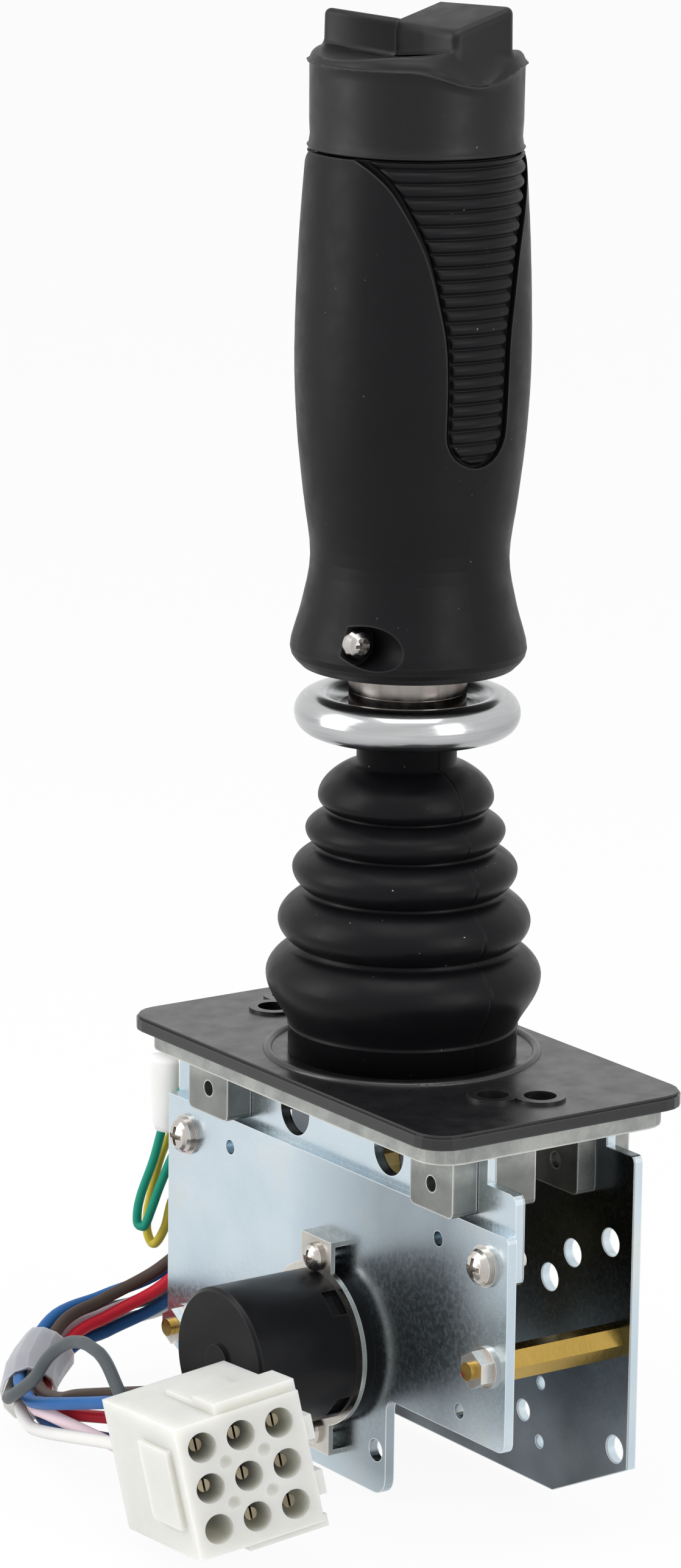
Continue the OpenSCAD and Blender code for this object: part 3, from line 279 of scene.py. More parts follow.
def zinc_plate(name, painted_dark_zones, painted_dark_colour, strength):
    """Bright zinc: bluish, cloudy, with straw patches and fine scratches.

    A list of (axis, low, high) gives the painted dark reflections and shade: the sheet is painted
    dark where all of them, which rise from 0 at low to 1 at high, are 1.
    """
    n = Nodes(name)
    cloud = n.ramp(n.noise(32, 4, 0.5), "Fac", 0.35, 0.65, 0, 1)
    mix = n.tint(cloud, "Result", (0.52, 0.62, 0.69), (0.66, 0.74, 0.79))
    straw = n.ramp(n.noise(60, 3), "Fac", 0.55, 0.8, 0.0, 0.35)
    mix = n.over(mix, (0.70, 0.64, 0.50), straw, "Result")
    mask = n.ramp(n.noise(34, 3, 0.5), "Fac", 0.3, 0.7, strength - 0.15, strength + 0.15)
    for axis, low, high in painted_dark_zones:
        mask = n.times(mask, n.reach(axis, low, high))
    # painted dark reflections and shade, laid over the zinc's colour
    mix = n.over(mix, painted_dark_colour, mask, "Value")
    mix = n.over(mix, (0.86, 0.90, 0.90), n.edges(0.0003), "Result")
    n.colour(mix)
    fine = n.noise(1100, 3, 0.6)
    n.roughness(fine, 0.3, 0.75, 0.22, 0.32)
    first = n.bump(n.noise(110, 2), "Fac", 0.10, 0.00012)
    n.bump(fine, "Fac", 0.06, 0.00002, after=first)
    n.set(Metallic=1.0)
    return n.material


def cast_metal():
    """Tumbled die-casting: grey, pitted, with painted shade low down and bright worn edges."""
    n = Nodes("cast flange")
    grain = n.noise(2200, 3, 0.6)
    cloud = n.ramp(n.noise(140, 4, 0.6), "Fac", 0.35, 0.65, 0, 1)
    mix = n.tint(cloud, "Result", (0.24, 0.25, 0.24), (0.38, 0.39, 0.37))
    pits = n.ramp(grain, "Fac", 0.62, 0.75, 0.0, 0.5)
    mix = n.over(mix, (0.20, 0.20, 0.18), pits, "Result")
    # painted shade: below z -8.6 mm the flange turns darker, where its lugs face away from the
    # light
    under = n.ramp(n.reach("Z", -8.6, -11.0), "Result", 0, 1, 0.0, 0.55)
    mix = n.over(mix, (0.11, 0.115, 0.11), under, "Result")
    mix = n.over(mix, (0.72, 0.72, 0.69), n.edges(0.0005), "Result")
    n.colour(mix)
    n.roughness(grain, 0.3, 0.7, 0.36, 0.52)
    n.bump(grain, "Fac", 0.4, 0.00006)
    n.set(Metallic=0.85)
    return n.material


def nylon(name="nylon", dark=(0.60, 0.60, 0.56), light=(0.70, 0.70, 0.67), crease=0.1):
    """Milky plastic that lets light through, creased where it is tape."""
    n = Nodes(name)
    n.colour(n.tint(n.noise(80, 3), "Fac", dark, light))
    n.roughness(n.noise(500, 2), 0.3, 0.7, 0.32, 0.44)
    n.bump(n.noise(420, 3), "Fac", crease, 0.00012)
    n.set(Subsurface_Weight=1.0, Subsurface_Scale=0.006, Subsurface_Radius=(1.0, 0.96, 0.84))
    n.set(Specular_IOR_Level=0.3)
    return n.material


# the sensor's axis as (x, z), and the radii of the rings turned into its face
SENSOR_AT, SENSOR_RINGS = (2.1, -47.6), (11.4, 9.6, 3.3)


def sensor_case():
    """Black satin case with turned rings on its front face."""
    n = Nodes("sensor case")
    rings = n.rings(SENSOR_AT, SENSOR_RINGS, 0.12)
    mix = n.tint(n.noise(60, 4), "Fac", (0.004, 0.004, 0.005), (0.008, 0.008, 0.009))
    mix = n.over(mix, (0.03, 0.03, 0.032), n.edges(0.0004), "Result")
    n.colour(mix)
    n.roughness(n.noise(220, 3), 0.3, 0.7, 0.30, 0.42)
    first = n.bump(rings, "Value", 0.6, -0.0002)
    n.bump(n.noise(3500, 2), "Fac", 0.2, 0.00002, after=first)
    n.set(Specular_IOR_Level=0.15)
    return n.material


def stud_brass():
    """Turned brass with a dab of red locking paint on the right stud."""
    n = Nodes("turned brass")
    lines = n.noise(500, 3, stretch=TURNED)
    mix = n.tint(n.noise(90, 4), "Fac", (0.34, 0.22, 0.05), (0.50, 0.34, 0.09))
    # the paint is on the right stud's near end, low down
    paint = n.times(n.reach("X", 46.4, 45.2), n.reach("Y", -16.8, -17.4))
    paint = n.times(paint, n.times(n.reach("X", 20, 22), n.reach("Z", -39.6, -40.6)))
    mix = n.over(mix, (0.45, 0.02, 0.015), paint, "Value")
    n.colour(mix)
    n.roughness(lines, 0.3, 0.7, 0.2, 0.34)
    n.bump(lines, "Fac", 0.2, 0.00002)
    n.set(Metallic=1.0)
    return n.material


# the grip and its ribbed pads share one plastic
GRIP_DARK, GRIP_LIGHT = (0.005, 0.005, 0.006), (0.008, 0.008, 0.009)

finishes = {
    "cast_flange": cast_metal(),
    "pad_rubber": moulded(
        "pad rubber", (0.006, 0.006, 0.007), (0.011, 0.011, 0.012), 0.30, 2500,
        wear=(0.03, 0.03, 0.03), spec=0.5, dust=0.4,
    ),
    "boot_rubber": moulded(
        "boot rubber", (0.003, 0.003, 0.004), (0.006, 0.006, 0.007), 0.38, 3000, dust=0.8
    ),
    # painted dark reflections and shade on the sensor plate, fullest between x 16 and 34 mm
    "zinc_plate": zinc_plate(
        "sensor plate zinc", [("X", -10, 16), ("X", 50, 34), ("Z", -76, -66)],
        (0.16, 0.19, 0.21), 0.7,
    ),
    "pin_steel": metal("ground steel", (0.30, 0.30, 0.30), (0.45, 0.45, 0.45), 0.35),
    "screw_steel": metal(
        "plated screw", (0.46, 0.43, 0.40), (0.68, 0.65, 0.61), 0.22, edge=(0.85, 0.82, 0.78)
    ),
    "standoff_brass": stud_brass(),
    "bush_bronze": metal("sintered bronze", (0.36, 0.24, 0.10), (0.48, 0.33, 0.15), 0.45),
    "clip_steel": metal("phosphated steel", (0.07, 0.07, 0.08), (0.13, 0.13, 0.14), 0.42),
    "hub_casting": metal(
        "hub casting", (0.22, 0.22, 0.23), (0.32, 0.32, 0.33), 0.5, grain=1500, depth=0.00006
    ),
    # the collar's tone is stretched into streaks of painted reflection
    "tube_steel": metal(
        "collar steel", (0.07, 0.042, 0.032), (0.30, 0.28, 0.26), 0.2, painted_reflection_bands=(1, 1, 0.05)
    ),
    "gear_brass": metal("gear brass", (0.45, 0.33, 0.13), (0.60, 0.46, 0.20), 0.32),
    "sensor_steel": metal(
        "shaft steel", (0.35, 0.35, 0.35), (0.5, 0.5, 0.5), 0.3, scratch=TURNED
    ),
    "sensor_black": sensor_case(),
    "clamp_steel": metal(
        "clamp steel", (0.45, 0.43, 0.40), (0.66, 0.63, 0.58), 0.24, edge=(0.88, 0.85, 0.80)
    ),
    # the ring's tone lies in bands of painted reflection round it
    "ring_aluminium": metal(
        "ring aluminium", (0.34, 0.35, 0.36), (0.56, 0.57, 0.57), 0.2,
        scratch=(0.15, 0.15, 9), painted_reflection_bands=(0.25, 0.25, 3.5),
    ),
    "grip_plastic": moulded(
        "grip plastic", GRIP_DARK, GRIP_LIGHT, 0.42, 4000, wear=(0.03, 0.03, 0.03), dust=0.3
    ),
    "inlay_rubber": moulded("ribbed pads", GRIP_DARK, GRIP_LIGHT, 0.44, 4000, dust=0.3),
    "black_screw": metal(
        "grip screw", (0.30, 0.29, 0.28), (0.48, 0.46, 0.44), 0.22, edge=(0.7, 0.68, 0.66)
    ),
    "switch_plastic": moulded("switch case", (0.05, 0.05, 0.055), (0.08, 0.08, 0.085), 0.45),
    "cap_rubber": moulded(
        "cap rubber", (0.005, 0.005, 0.006), (0.009, 0.009, 0.010), 0.44, 2600,
        wear=(0.035, 0.035, 0.035), spec=0.24, dust=0.3,
    ),
    "nylon": nylon(),
    "milky_tape": nylon("milky tape", (0.66, 0.66, 0.65), (0.78, 0.78, 0.77), 0.6),
    "contact_metal": metal(
        "contact", (0.12, 0.10, 0.07), (0.22, 0.19, 0.13), 0.34, scratch=DRAWN
    ),
}

# each wire's two tones and its roughness
WIRE_LOOKS = {
    "blue": ((0.020, 0.100, 0.300), (0.035, 0.150, 0.400), 0.40),
    "brown": ((0.050, 0.034, 0.027), (0.085, 0.060, 0.050), 0.42),
    "red": ((0.420, 0.010, 0.022), (0.560, 0.020, 0.040), 0.38),
    "navy": ((0.012, 0.060, 0.180), (0.022, 0.090, 0.240), 0.40),
    "grey": ((0.060, 0.072, 0.078), (0.095, 0.108, 0.115), 0.42),
    "white": ((0.720, 0.710, 0.690), (0.840, 0.830, 0.810), 0.42),
    "pink": ((0.780, 0.560, 0.620), (0.880, 0.720, 0.760), 0.42),
    "green": ((0.010, 0.230, 0.150), (0.020, 0.320, 0.220), 0.42),
    "yellow": ((0.520, 0.400, 0.040), (0.640, 0.520, 0.080), 0.42),
}
for colour, tones in WIRE_LOOKS.items():
    finishes["wire_" + colour] = moulded(colour + " wire", *tones)


def dress(piece, slot):
    """Gives a piece the finish of a material slot of the record."""
    piece.data.materials.clear()
    piece.data.materials.append(finishes[slot])


# painted shade: the inner faces between the plates are painted dark, for the shade and dark
# reflections between them
INNER_PAINTED_SHADE = (0.045, 0.052, 0.060)
single = {
    "near_side_plate": zinc_plate("near plate zinc", [("Y", -12.1, -11.75)], INNER_PAINTED_SHADE, 0.88),
    "far_side_plate": zinc_plate("far plate zinc", [("Y", 10.6, 10.25)], INNER_PAINTED_SHADE, 0.88),
}

for part in frame["record"]["subparts"]:
    node = frame["nodes"][part["node"]]
    node.data.materials.clear()
    node.data.materials.append(single.get(part["node"], finishes[part["material_slot"]]))


# --------------------------------------------------------------- mesh helpers


def new_piece(name, mesh):
    piece = bpy.data.objects.new(name, mesh)
    bpy.context.scene.collection.objects.link(piece)
    return piece


def grid_piece(name, rows, closed=True, cap_ends=False):
    """Smooth mesh through equal rows of points, in metres; closed rows are rings."""
    mesh = bpy.data.meshes.new(name)
    count = len(rows[0])
    points = [p for row in rows for p in row]
    faces = []
    for i in range(len(rows) - 1):
        for k in range(count if closed else count - 1):
            q = (k + 1) % count
            low, high = i * count, (i + 1) * count
            faces.append((low + k, low + q, high + q, high + k))
    if cap_ends:
        faces.append(tuple(range(count - 1, -1, -1)))
        faces.append(tuple((len(rows) - 1) * count + k for k in range(count)))
    mesh.from_pydata(points, [], faces)
    mesh.validate()
    bm = bmesh.new()
    bm.from_mesh(mesh)
    bmesh.ops.recalc_face_normals(bm, faces=bm.faces)
    bm.to_mesh(mesh)
    bm.free()
    for face in mesh.polygons:
        face.use_smooth = True
    return new_piece(name, mesh)


def turned_piece(name, profile, steps, groove):
    """Mesh of revolution about Z from (radius, height) points in mm.

    groove(angle, height) is added to the radius.
    """
    rows = []
    for r, z in profile:
        row = []
        for k in range(steps):
            a = 2 * math.pi * k / steps
            out = r + groove(a, z)
            row.append((out * math.cos(a) * MM, out * math.sin(a) * MM, z * MM))
        rows.append(row)
    return grid_piece(name, rows)


def smooth(t):
    """0 to 1 as t goes from 0 to 1, level at both ends."""
    t = min(max(t, 0.0), 1.0)
    return t * t * (3 - 2 * t)


# --------------------------------------------------------------- wires

WIRE_D = 2.2
THIN_WIRE_D = 1.6
LOOPS = ("green", "yellow")
# how far a wire's path stays inside the box of its route's points
PATH_INSET = 0.05
STEPS_PER_POINT = 6

# points of each wire's middle line, as the CAD has them
ROUTES = {
    "blue": [
        (-43.5, -6.4, -45.2), (-48.5, -6.4, -45.2), (-58, -11, -53.5), (-61, -19.5, -56.5),
        (-60, -30, -58), (-55, -38.5, -61.5), (-49.5, -44, -64), (-41.5, -47.5, -64),
        (-32.5, -49.5, -62.5), (0, -50.5, -52.5), (8.5, -52, -50), (14.5, -53, -49),
    ],
    "brown": [
        (-43.5, -9.6, -45.2), (-48, -9.6, -45.2), (-55.5, -13, -52), (-58, -21.5, -56),
        (-57, -30, -58), (-52.5, -37, -61.5), (-48, -41.5, -64), (-41, -44.5, -64),
        (-32, -46.5, -62), (-24, -47, -59), (1, -45, -51.5), (9.5, -45.5, -49),
        (15.5, -46.5, -48),
    ],
    "red": [
        (-43.5, -11.2, -48), (-46.5, -11.2, -48), (-53.5, -13.5, -54.5), (-56.5, -21, -58.5),
        (-55.5, -29, -60.5), (-52, -35.5, -64), (-47.5, -40, -66.5), (-40, -43, -66.5),
        (-31.5, -45, -65), (1.5, -44, -57), (10.5, -44.5, -55.5), (16.5, -45.5, -54.5),
    ],
    "navy": [
        (-43.5, -9.6, -50.8), (-46.5, -9.6, -50.8), (-54, -12, -57.5), (-57.5, -20, -61.5),
        (-57, -28, -63), (-54, -35.5, -66.5), (-48.5, -41, -69), (-40.5, -44.5, -69),
        (-31.5, -46.5, -67.5), (2.5, -43, -62.5), (12, -43.5, -62), (17.5, -44.5, -61.5),
    ],
    "grey": [
        (-43.5, -4.8, -48), (-47, -4.8, -48), (-57.5, -9.5, -57), (-62, -19, -59.5),
        (-61.5, -29, -60.5), (-57, -38.5, -64.5), (-50, -45.5, -66.5), (-41, -51, -63.5),
        (-30.5, -53, -57), (-24, -54, -51), (-17, -54.5, -46.5), (-9.5, -55.5, -44.5),
        (-3, -56.5, -45), (2.5, -57.5, -48), (7.5, -58.5, -51), (13.5, -59.5, -50.5),
    ],
    "white": [
        (-43.5, -6.4, -50.8), (-46.5, -6.4, -50.8), (-55, -9.5, -58.5), (-60, -18.5, -61.5),
        (-60, -28, -63), (-56.5, -37, -66.5), (-50, -43.5, -69), (-41, -47.5, -69),
        (-32, -49.5, -67.5), (0, -55.5, -59), (8.5, -57.5, -58), (14.5, -58.5, -57),
    ],
    "pink": [
        (-43.5, -8, -48), (-47, -8, -48), (-55.5, -11.5, -55.5), (-59, -20.5, -59),
        (-58.5, -29, -60.5), (-54.5, -37, -64), (-49, -42.5, -66.5), (-41, -46, -66.5),
        (-32, -48, -65), (2, -49, -63.5), (11, -50, -63.5), (16.5, -51, -62.5),
    ],
    "green": [
        (-42.5, -10.7, -14), (-47.5, -10.6, -16), (-52.5, -10.8, -20.5), (-55.5, -11, -25.5),
        (-57, -12, -32), (-59.5, -13, -39), (-60, -13.5, -43.5), (-58.5, -13, -44.5),
        (-57.5, -12, -41), (-56, -11, -36), (-53, -9.5, -29), (-47, -9.5, -26.5),
        (-42.5, -10.7, -27.5),
    ],
    "yellow": [
        (-42.5, -10.7, -17.8), (-48, -9, -19.5), (-54, -8.8, -25), (-58.5, -9.3, -31.5),
        (-61, -10, -40), (-61.5, -10.5, -45.5), (-60, -10, -48.5), (-57.5, -9.3, -45),
        (-55.5, -8.8, -39), (-50, -8.3, -35), (-42.5, -10.7, -34.5),
    ],
}


def spline(points, steps):
    """Catmull-Rom curve through the points."""
    out = []
    for i in range(len(points) - 1):
        a, b = points[max(i - 1, 0)], points[i]
        c, d = points[i + 1], points[min(i + 2, len(points) - 1)]
        for k in range(steps):
            t = k / steps
            square, cube = 2 * a - 5 * b + 4 * c - d, 3 * b - a - 3 * c + d
            out.append(0.5 * ((2 * b) + (c - a) * t + square * t * t + cube * t**3))
    return out + [points[-1]]


def make_wire(colour, route):
    """A wire as a round curve through its route, on the base."""
    loop = colour in LOOPS
    diameter = (THIN_WIRE_D if loop else WIRE_D) * MM
    # the curve swings past its points a little, and is kept within their box
    low = [min(p[i] for p in route) + PATH_INSET for i in range(3)]
    high = [max(p[i] for p in route) - PATH_INSET for i in range(3)]
    path = [
        Vector([min(max(p[i], low[i]), high[i]) for i in range(3)]) * MM
        for p in spline([Vector(p) for p in route], STEPS_PER_POINT)
    ]
    curve = bpy.data.curves.new("wire_curve_" + colour, "CURVE")
    curve.dimensions = "3D"
    curve.bevel_depth = diameter / 2
    curve.bevel_resolution = 4
    curve.use_fill_caps = True
    line = curve.splines.new("POLY")
    line.points.add(len(path) - 1)
    for point, place in zip(line.points, path):
        point.co = (*place, 1)
    line.use_smooth = True
    wire = new_piece("wire_curve_" + colour, curve)
    dress(wire, "wire_" + colour)
    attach(wire, "base")
    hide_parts("wire_" + colour)


for colour, route in ROUTES.items():
    make_wire(colour, route)

# the tape by the thin wires: oval rings as (x, height, half width)
WRAP_RINGS = [
    (-55.2, -13.2, 3.2), (-55.2, -14.0, 3.5), (-55.0, -20.0, 3.4),
    (-54.6, -25.2, 2.9), (-54.4, -26.0, 2.4),
]
WRAP_Y, WRAP_HALF_DEPTH, WRAP_STEPS = -11.0, 1.9, 32


def make_loop_wrap():
    """Milky tape under the left end of the flange; the green wire runs out of it."""
    angles = [2 * math.pi * k / WRAP_STEPS for k in range(WRAP_STEPS)]
    across = [(WRAP_Y + WRAP_HALF_DEPTH * math.sin(a)) * MM for a in angles]
    rows = [
        [((x + wide * math.cos(a)) * MM, y, z * MM) for a, y in zip(angles, across)]
        for x, z, wide in WRAP_RINGS
    ]
    wrap = grid_piece("loop_wrap", rows, cap_ends=True)
    dress(wrap, "milky_tape")
    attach(wrap, "base")


make_loop_wrap()

# --------------------------------------------------------------- boot

BASE_R, NECK_R, NECK_TOP = 19.0, 8.25, 53.6
BOOT_WALL, NECK_BORE_R = 1.4, 7.15
# the folds' crests and the creases between them as (height, radius)
PEAKS = [(13.2, 22.8), (22.3, 20.9), (31.1, 18.6), (37.7, 16.5), (43.2, 14.5)]
VALLEYS = [(4.6, 19.0), (18.4, 17.6), (27.4, 15.6), (34.8, 13.9), (40.8, 12.0), (49.0, NECK_R)]
# inside of the boot from the neck down, as (radius, height)
INNER_WALL = [(NECK_BORE_R, 49.0), (10.4, 41.0), (14.0, 27.5), (16.0, 18.5), (17.4, 6.0)]
FOLD_STEPS, BOOT_STEPS = 22, 720
# the boot rises hollow out of its root, and its folds are full
ROOT_POWER, FOLD_POWER = 1.5, 0.65
SEAM_TURN, SEAM_DEPTH, SEAM_WIDTH, SEAM_LOW = 4, 0.22, 0.55, 4


def fold_radius(z, i):
    """Radius of fold i of the boot at height z."""
    low, high, (peak_z, peak_r) = VALLEYS[i], VALLEYS[i + 1], PEAKS[i]
    near_z, near_r = low if z < peak_z else high
    share = (z - near_z) / (peak_z - near_z)
    power = ROOT_POWER if i == 0 and z < peak_z else FOLD_POWER
    return near_r + (peak_r - near_r) * math.sin(math.pi / 2 * share) ** power


def seam(a, z):
    """Depth of the mould's parting line, a fine groove near +X and -X."""
    off = (math.degrees(a) - SEAM_TURN + 90) % 180 - 90
    return -SEAM_DEPTH * math.exp(-((off / SEAM_WIDTH) ** 2)) if z > SEAM_LOW else 0


def make_boot():
    """The bellows boot as one turned piece, from its root on the flange to its neck."""
    root = (BASE_R - BOOT_WALL, 0.0)
    profile = [root, (BASE_R, 0.0), (BASE_R, 4.4), (BASE_R + 0.15, 4.55)]
    for i in range(len(PEAKS)):
        z0, z1 = VALLEYS[i][0], VALLEYS[i + 1][0]
        heights = [z0 + (z1 - z0) * k / FOLD_STEPS for k in range(FOLD_STEPS)]
        profile += [(fold_radius(z, i), z) for z in heights]
    profile += [(NECK_R, VALLEYS[-1][0]), (NECK_R, NECK_TOP - 0.4), (NECK_R - 0.4, NECK_TOP)]
    profile += [(NECK_BORE_R, NECK_TOP), *INNER_WALL, root]
    boot = turned_piece("boot", profile, BOOT_STEPS, seam)
    dress(boot, "boot_rubber")
    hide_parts("boot_bellows")
    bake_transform(boot)


make_boot()

# --------------------------------------------------------------- ribbed pads

# the grip's outline beside the pads as (height, radius), close to the CAD's
GRIP_LINE = [(83.6, 16.25), (93.7, 17.5), (105, 18.7), (117.5, 19.2), (135, 18.7), (149.8, 17.7)]
# a pad's recess as (height, half width)
PAD_SIDE = [
    (106.5, 5.9), (119.5, 6.2), (127, 7.4), (135, 9.2), (142, 11.9), (146.4, 14), (151.2, 17.6)
]
PAD_TOP_Z, RIB_FIRST_Z, RIB_PITCH = 149.75, 103.5, 2.2
# how far the grooves and the crests lie under the grip's skin, and the gap at the sides
PAD_DOWN, RIB_DOWN, PAD_GAP = 1.0, 0.2, 0.35
PAD_COLUMNS, PAD_ROWS = 72, 330
# a power under 1 makes the crests broad and the grooves narrow
CREST_POWER = 0.4


def between(line, z):
    """Value at height z of a smooth line given by (height, value) points."""
    points = spline([Vector((h, v, 0)) for h, v in line], 8)
    for a, b in zip(points, points[1:]):
        if a.x <= z <= b.x:
            return a.y + (b.y - a.y) * (z - a.x) / (b.x - a.x)
    return points[-1].y if z > points[-1].x else points[0].y


def pad_half(z):
    """Half width of a ribbed pad at height z; its foot is a half circle."""
    foot_z, foot = PAD_SIDE[0]
    if z < foot_z:
        return math.sqrt(max((foot - PAD_GAP) ** 2 - (foot_z - z) ** 2, 0.0))
    return between(PAD_SIDE, z) - PAD_GAP


def make_pads():
    """The two ribbed pads let into the grip, at +X and -X."""
    columns = [-1 + 2 * k / PAD_COLUMNS for k in range(PAD_COLUMNS + 1)]
    bottom = PAD_SIDE[0][0] - (PAD_SIDE[0][1] - PAD_GAP) + 0.02
    heights = [bottom + (PAD_TOP_Z - bottom) * i / PAD_ROWS for i in range(PAD_ROWS + 1)]
    for sign, name in ((1, "pad_front"), (-1, "pad_back")):
        rows = []
        for z in heights:
            skin, half = between(GRIP_LINE, z), pad_half(z)
            along = (z - RIB_FIRST_Z) / RIB_PITCH
            wave = math.cos(2 * math.pi * (along - round(along)))
            slope = (pad_half(z + 0.5) - pad_half(z - 0.5)) if z > bottom + 0.6 else 2.0
            row = []
            for share in columns:
                y = share * half
                inside = min((half - abs(y)) / math.hypot(1, slope), z - bottom)
                crest = (0.5 + 0.5 * wave) ** CREST_POWER * smooth((inside - 0.25) / 0.55)
                r = skin - PAD_DOWN + (PAD_DOWN - RIB_DOWN) * crest
                # the outermost points are sunk, so that the pad's side goes into the grip
                at_edge = share in (columns[0], columns[-1]) or z in (heights[0], heights[-1])
                r -= 0.5 if at_edge else 0.0
                a = math.asin(min(max(y / skin, -0.998), 0.998))
                row.append((sign * r * math.cos(a) * MM, sign * r * math.sin(a) * MM, z * MM))
            rows.append(row)
        pad = grid_piece(name, rows, closed=False)
        dress(pad, "inlay_rubber")
        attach(pad, "lever")
        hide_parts("grip_inlays")


make_pads()

# --------------------------------------------------------------- thumb cap

SEAM_Z, RIM_Z, DECK_Z = 150.7, 164.1, 165.1
CAP_R = 17.2
SCOOP_DEPTH, SCOOP_HALF_ANGLE = 2.6, 40
# the deck's dish along X, the shoulder round it, and the hollow behind a scoop's lip
DECK_DISH = 0.0122
SHOULDER_R, SHOULDER_WIDE, SHOULDER_HIGH = 15.1, 2.2, 2.0
HOLLOW_WIDE, HOLLOW_HIGH, HOLLOW_POWER = 3.7, 6.0, 1.5
BLEND_OVER = 0.5
CAP_STEPS, DECK_ROWS = 288, 60
# a thumb block's rounded edge, and its outer corners
EDGE_R, CORNER_R, CORNER_X = 1.3, 1.7, 12.3
ARC_STEPS = 8
# the thumb blocks as (side, height, rise along Y, fall along X)
BLOCKS = [(1, 171.9, 0.30, 0.085), (-1, 170.1, 0.22, 0.02)]


def scoop(a):
    """1 in the middle of the thumb scoops at +X and -X, 0 away from them."""
    off = abs((math.degrees(a) + 90) % 180 - 90)
    return smooth(1 - off / SCOOP_HALF_ANGLE)


def lip_height(a):
    """Height of the rim, which dips at the scoops."""
    return RIM_Z - SCOOP_DEPTH * scoop(a)


def soft_min(a, b, k):
    """The smaller of a and b, rounded over where they cross within k."""
    h = min(max(0.5 + 0.5 * (b - a) / k, 0), 1)
    return b + (a - b) * h - k * h * (1 - h)


def deck_height(x, y):
    """Dished deck, rounded to the rim and scooped out at both ends."""
    r, a = math.hypot(x, y), math.atan2(y, x)
    deck = DECK_Z + DECK_DISH * x * x
    past = max(r - SHOULDER_R, 0) / SHOULDER_WIDE
    shoulder = RIM_Z + SHOULDER_HIGH * math.sqrt(max(0.0, 1 - past**2))
    inward = max(CAP_R + 0.1 - r, 0) / HOLLOW_WIDE
    hollow = lip_height(a) + HOLLOW_HIGH * inward**HOLLOW_POWER
    plain, scooped = soft_min(deck, shoulder, BLEND_OVER), soft_min(deck, hollow, BLEND_OVER)
    return plain + (scooped - plain) * scoop(a)


def block_rows(sign, height, rise, fall):
    """Rows of points of one thumb block, from the deck to its top."""
    # the plan as (x, y) and the way outwards, with round outer corners
    plan = []
    corners = [(CORNER_X, -1.20, -82, 0), (CORNER_X, 7.55, 0, 108)]
    for cx, cy, start, stop in corners:
        for k in range(ARC_STEPS + 1):
            a = math.radians(start + (stop - start) * k / ARC_STEPS)
            nx, ny = math.cos(a), math.sin(a)
            plan.append((cx + CORNER_R * nx, cy + CORNER_R * ny, nx, ny))
    plan += [(-0.7, 5.0, -0.7, 0.7), (-0.7, -5.0, -0.7, -0.7)]
    rows = []

    def row(inset, down=None, up=None):
        ring = []
        for x, y, nx, ny in plan:
            px, py = x - nx * inset, y - ny * inset
            top = height + rise * py - fall * px
            z = top - down if up is None else deck_height(px, py) + up
            ring.append((sign * px * MM, sign * py * MM, z * MM))
        rows.append(ring)

    # a fillet out of the deck, the wall, then the rounded edge of the top
    for out, up in ((1.0, -0.15), (0.55, 0.06), (0.25, 0.35), (0.07, 0.8)):
        row(-out, up=up)
    for k in range(ARC_STEPS + 1):
        a = math.pi / 2 * k / ARC_STEPS
        row(EDGE_R * (1 - math.cos(a)), EDGE_R * (1 - math.sin(a)))
    return rows


def flash(a):
    """Thin uneven parting flash on the cap's rim, added to the radius."""
    return 0.10 * math.sin(7 * a + 1) * math.sin(23 * a) + 0.05 * math.sin(61 * a)


def cap_rows(angles):
    """Rings of (radius, height) from the cap's seam over its rim to the middle."""
    skirt = [(CAP_R - 1.6, -0.5), (CAP_R + 0.2, -0.5), (CAP_R + 0.4, -0.2)]
    skirt += [(CAP_R + 0.1, 0.1), (CAP_R - 0.1, 1.5)]
    rows = [[(r, SEAM_Z + up)] * len(angles) for r, up in skirt]
    for share in (0.3, 0.6, 0.85, 0.95):
        r = CAP_R + 0.1 * share
        rows.append([(r, SEAM_Z + (lip_height(a) - SEAM_Z) * share) for a in angles])
    for out, down, uneven in ((0.30, 0.32, 0), (0.52, 0.14, 1), (0.46, 0.0, 1), (0.15, -0.12, 0)):
        rows.append([(CAP_R + out + uneven * flash(a), lip_height(a) - down) for a in angles])
    for i in range(DECK_ROWS):
        r = (CAP_R + 0.05) * (1 - i / (DECK_ROWS - 0.5))
        rows.append([(r, deck_height(r * math.cos(a), r * math.sin(a))) for a in angles])
    return rows


def make_cap():
    """The rubber thumb cap with its two blocks, as one piece."""
    angles = [2 * math.pi * k / CAP_STEPS for k in range(CAP_STEPS)]
    rows = cap_rows(angles)
    points = [
        [(r * math.cos(a) * MM, r * math.sin(a) * MM, z * MM) for (r, z), a in zip(row, angles)]
        for row in rows
    ]
    cap = grid_piece("thumb_cap", points)
    bm = bmesh.new()
    bm.from_mesh(cap.data)
    bm.verts.ensure_lookup_table()
    inner = (len(rows) - 1) * CAP_STEPS
    bm.faces.new([bm.verts[inner + k] for k in range(CAP_STEPS)])
    for block in BLOCKS:
        rings = [[bm.verts.new(p) for p in row] for row in block_rows(*block)]
        count = len(rings[0])
        for low, high in zip(rings, rings[1:]):
            for k in range(count):
                q = (k + 1) % count
                bm.faces.new((low[k], low[q], high[q], high[k]))
        bm.faces.new(rings[-1])
    bmesh.ops.recalc_face_normals(bm, faces=bm.faces)
    bm.to_mesh(cap.data)
    bm.free()
    for face in cap.data.polygons:
        face.use_smooth = True
    dress(cap, "cap_rubber")
    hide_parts("switch_cap")
    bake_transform(cap)


make_cap()

# --------------------------------------------------------------- light and floor


def soft_light(name, place, size, power):
    """A softbox that looks at the middle of the part."""
    data = bpy.data.lights.new(name, "AREA")
    data.shape = "RECTANGLE"
    data.size, data.size_y = size
    data.energy = power
    light = bpy.data.objects.new(name, data)
    light.location = place
    aim = middle - Vector(place)
    light.rotation_euler = aim.to_track_quat("-Z", "Y").to_euler()
    bpy.context.scene.collection.objects.link(light)


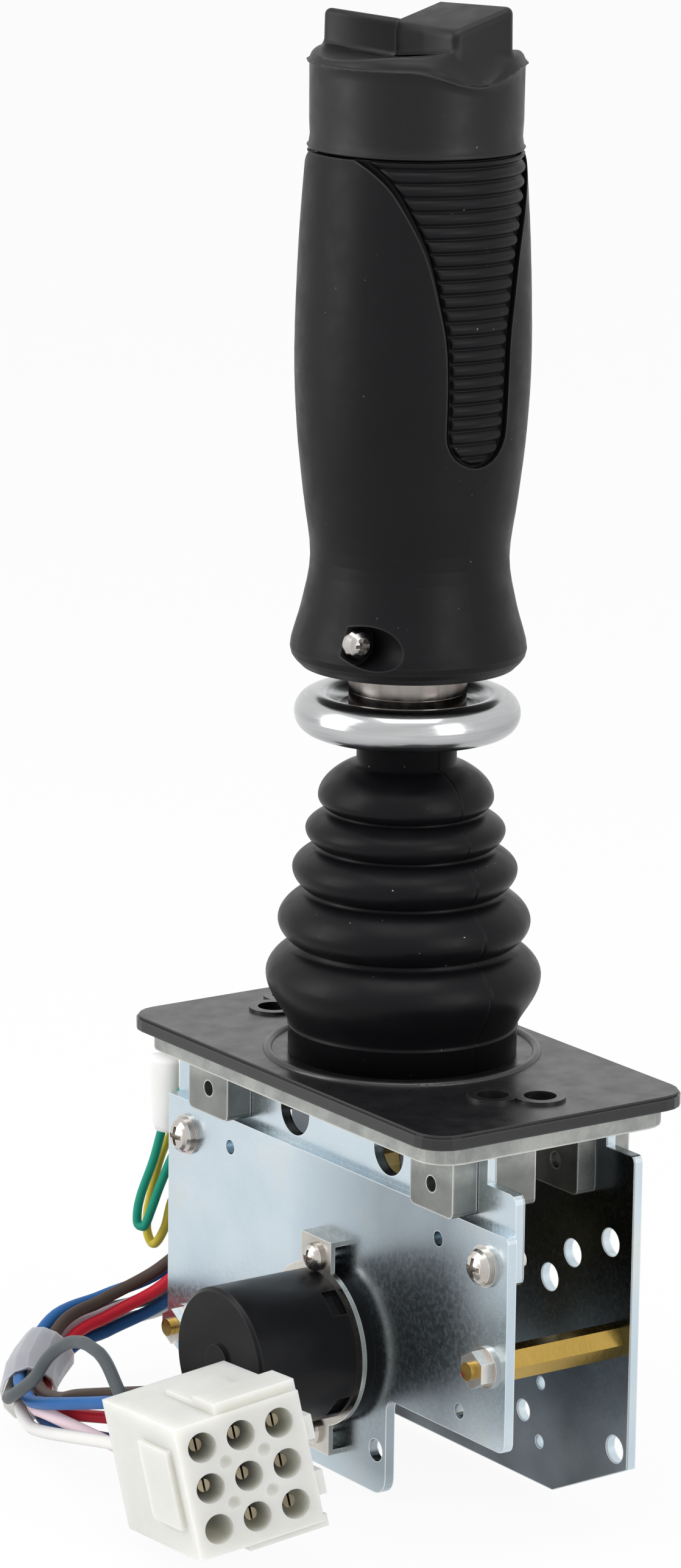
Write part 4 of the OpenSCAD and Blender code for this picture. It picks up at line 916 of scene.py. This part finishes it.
middle = Vector((cad_bounds[0] + cad_bounds[1]) / 2)
soft_light("left softbox", (-0.35, -0.75, 0.35), (0.5, 0.9), 5)
soft_light("right softbox", (0.85, 0.15, 0.30), (0.4, 0.8), 3)
soft_light("top softbox", (0.15, -0.1, 0.95), (0.7, 0.7), 4)


def white_for_view(tree, shader, out, share):
    """White for the camera and for rays that reflect or pass through.

    share is how much of the white they get; all else gets the given shader.
    """
    paths = tree.nodes.new("ShaderNodeLightPath")
    seen = paths.outputs["Is Camera Ray"]
    for kind in ("Is Glossy Ray", "Is Transmission Ray"):
        either = tree.nodes.new("ShaderNodeMath")
        either.operation = "MAXIMUM"
        tree.links.new(seen, either.inputs[0])
        tree.links.new(paths.outputs[kind], either.inputs[1])
        seen = either.outputs[0]
    part = tree.nodes.new("ShaderNodeMath")
    part.operation = "MULTIPLY"
    part.inputs[1].default_value = share
    tree.links.new(seen, part.inputs[0])
    in_world = out.bl_idname == "ShaderNodeOutputWorld"
    white = tree.nodes.new("ShaderNodeBackground" if in_world else "ShaderNodeEmission")
    white.inputs["Color"].default_value = (1, 1, 1, 1)
    white.inputs["Strength"].default_value = 1.0
    mixed = tree.nodes.new("ShaderNodeMixShader")
    tree.links.new(part.outputs[0], mixed.inputs[0])
    tree.links.new(shader.outputs[0], mixed.inputs[1])
    tree.links.new(white.outputs[0], mixed.inputs[2])
    tree.links.new(mixed.outputs[0], out.inputs["Surface"])


world = bpy.data.worlds.new("studio")
bpy.context.scene.world = world
world.use_nodes = True
background = world.node_tree.nodes["Background"]
background.inputs["Color"].default_value = (1, 1, 1, 1)
background.inputs["Strength"].default_value = 0.5
world_output = world.node_tree.nodes["World Output"]
white_for_view(world.node_tree, background, world_output, 1.0)

bpy.context.scene.view_settings.view_transform = "Standard"

FLOOR_HALF, FLOOR_GAP, FLOOR_WHITE = 4.0, 0.0002, 0.93
floor_mesh = bpy.data.meshes.new("floor")
floor_z = cad_bounds[0][2] - FLOOR_GAP
signs = ((-1, -1), (1, -1), (1, 1), (-1, 1))
floor_corners = [(x * FLOOR_HALF, y * FLOOR_HALF, floor_z) for x, y in signs]
floor_mesh.from_pydata(floor_corners, [], [(0, 1, 2, 3)])
floor = new_piece("floor", floor_mesh)
pale = Nodes("pale floor")
pale.set(Base_Color=(0.9, 0.9, 0.9, 1), Roughness=0.8)
white_for_view(pale.tree, pale.shader, pale.out, FLOOR_WHITE)
floor.data.materials.append(pale.material)
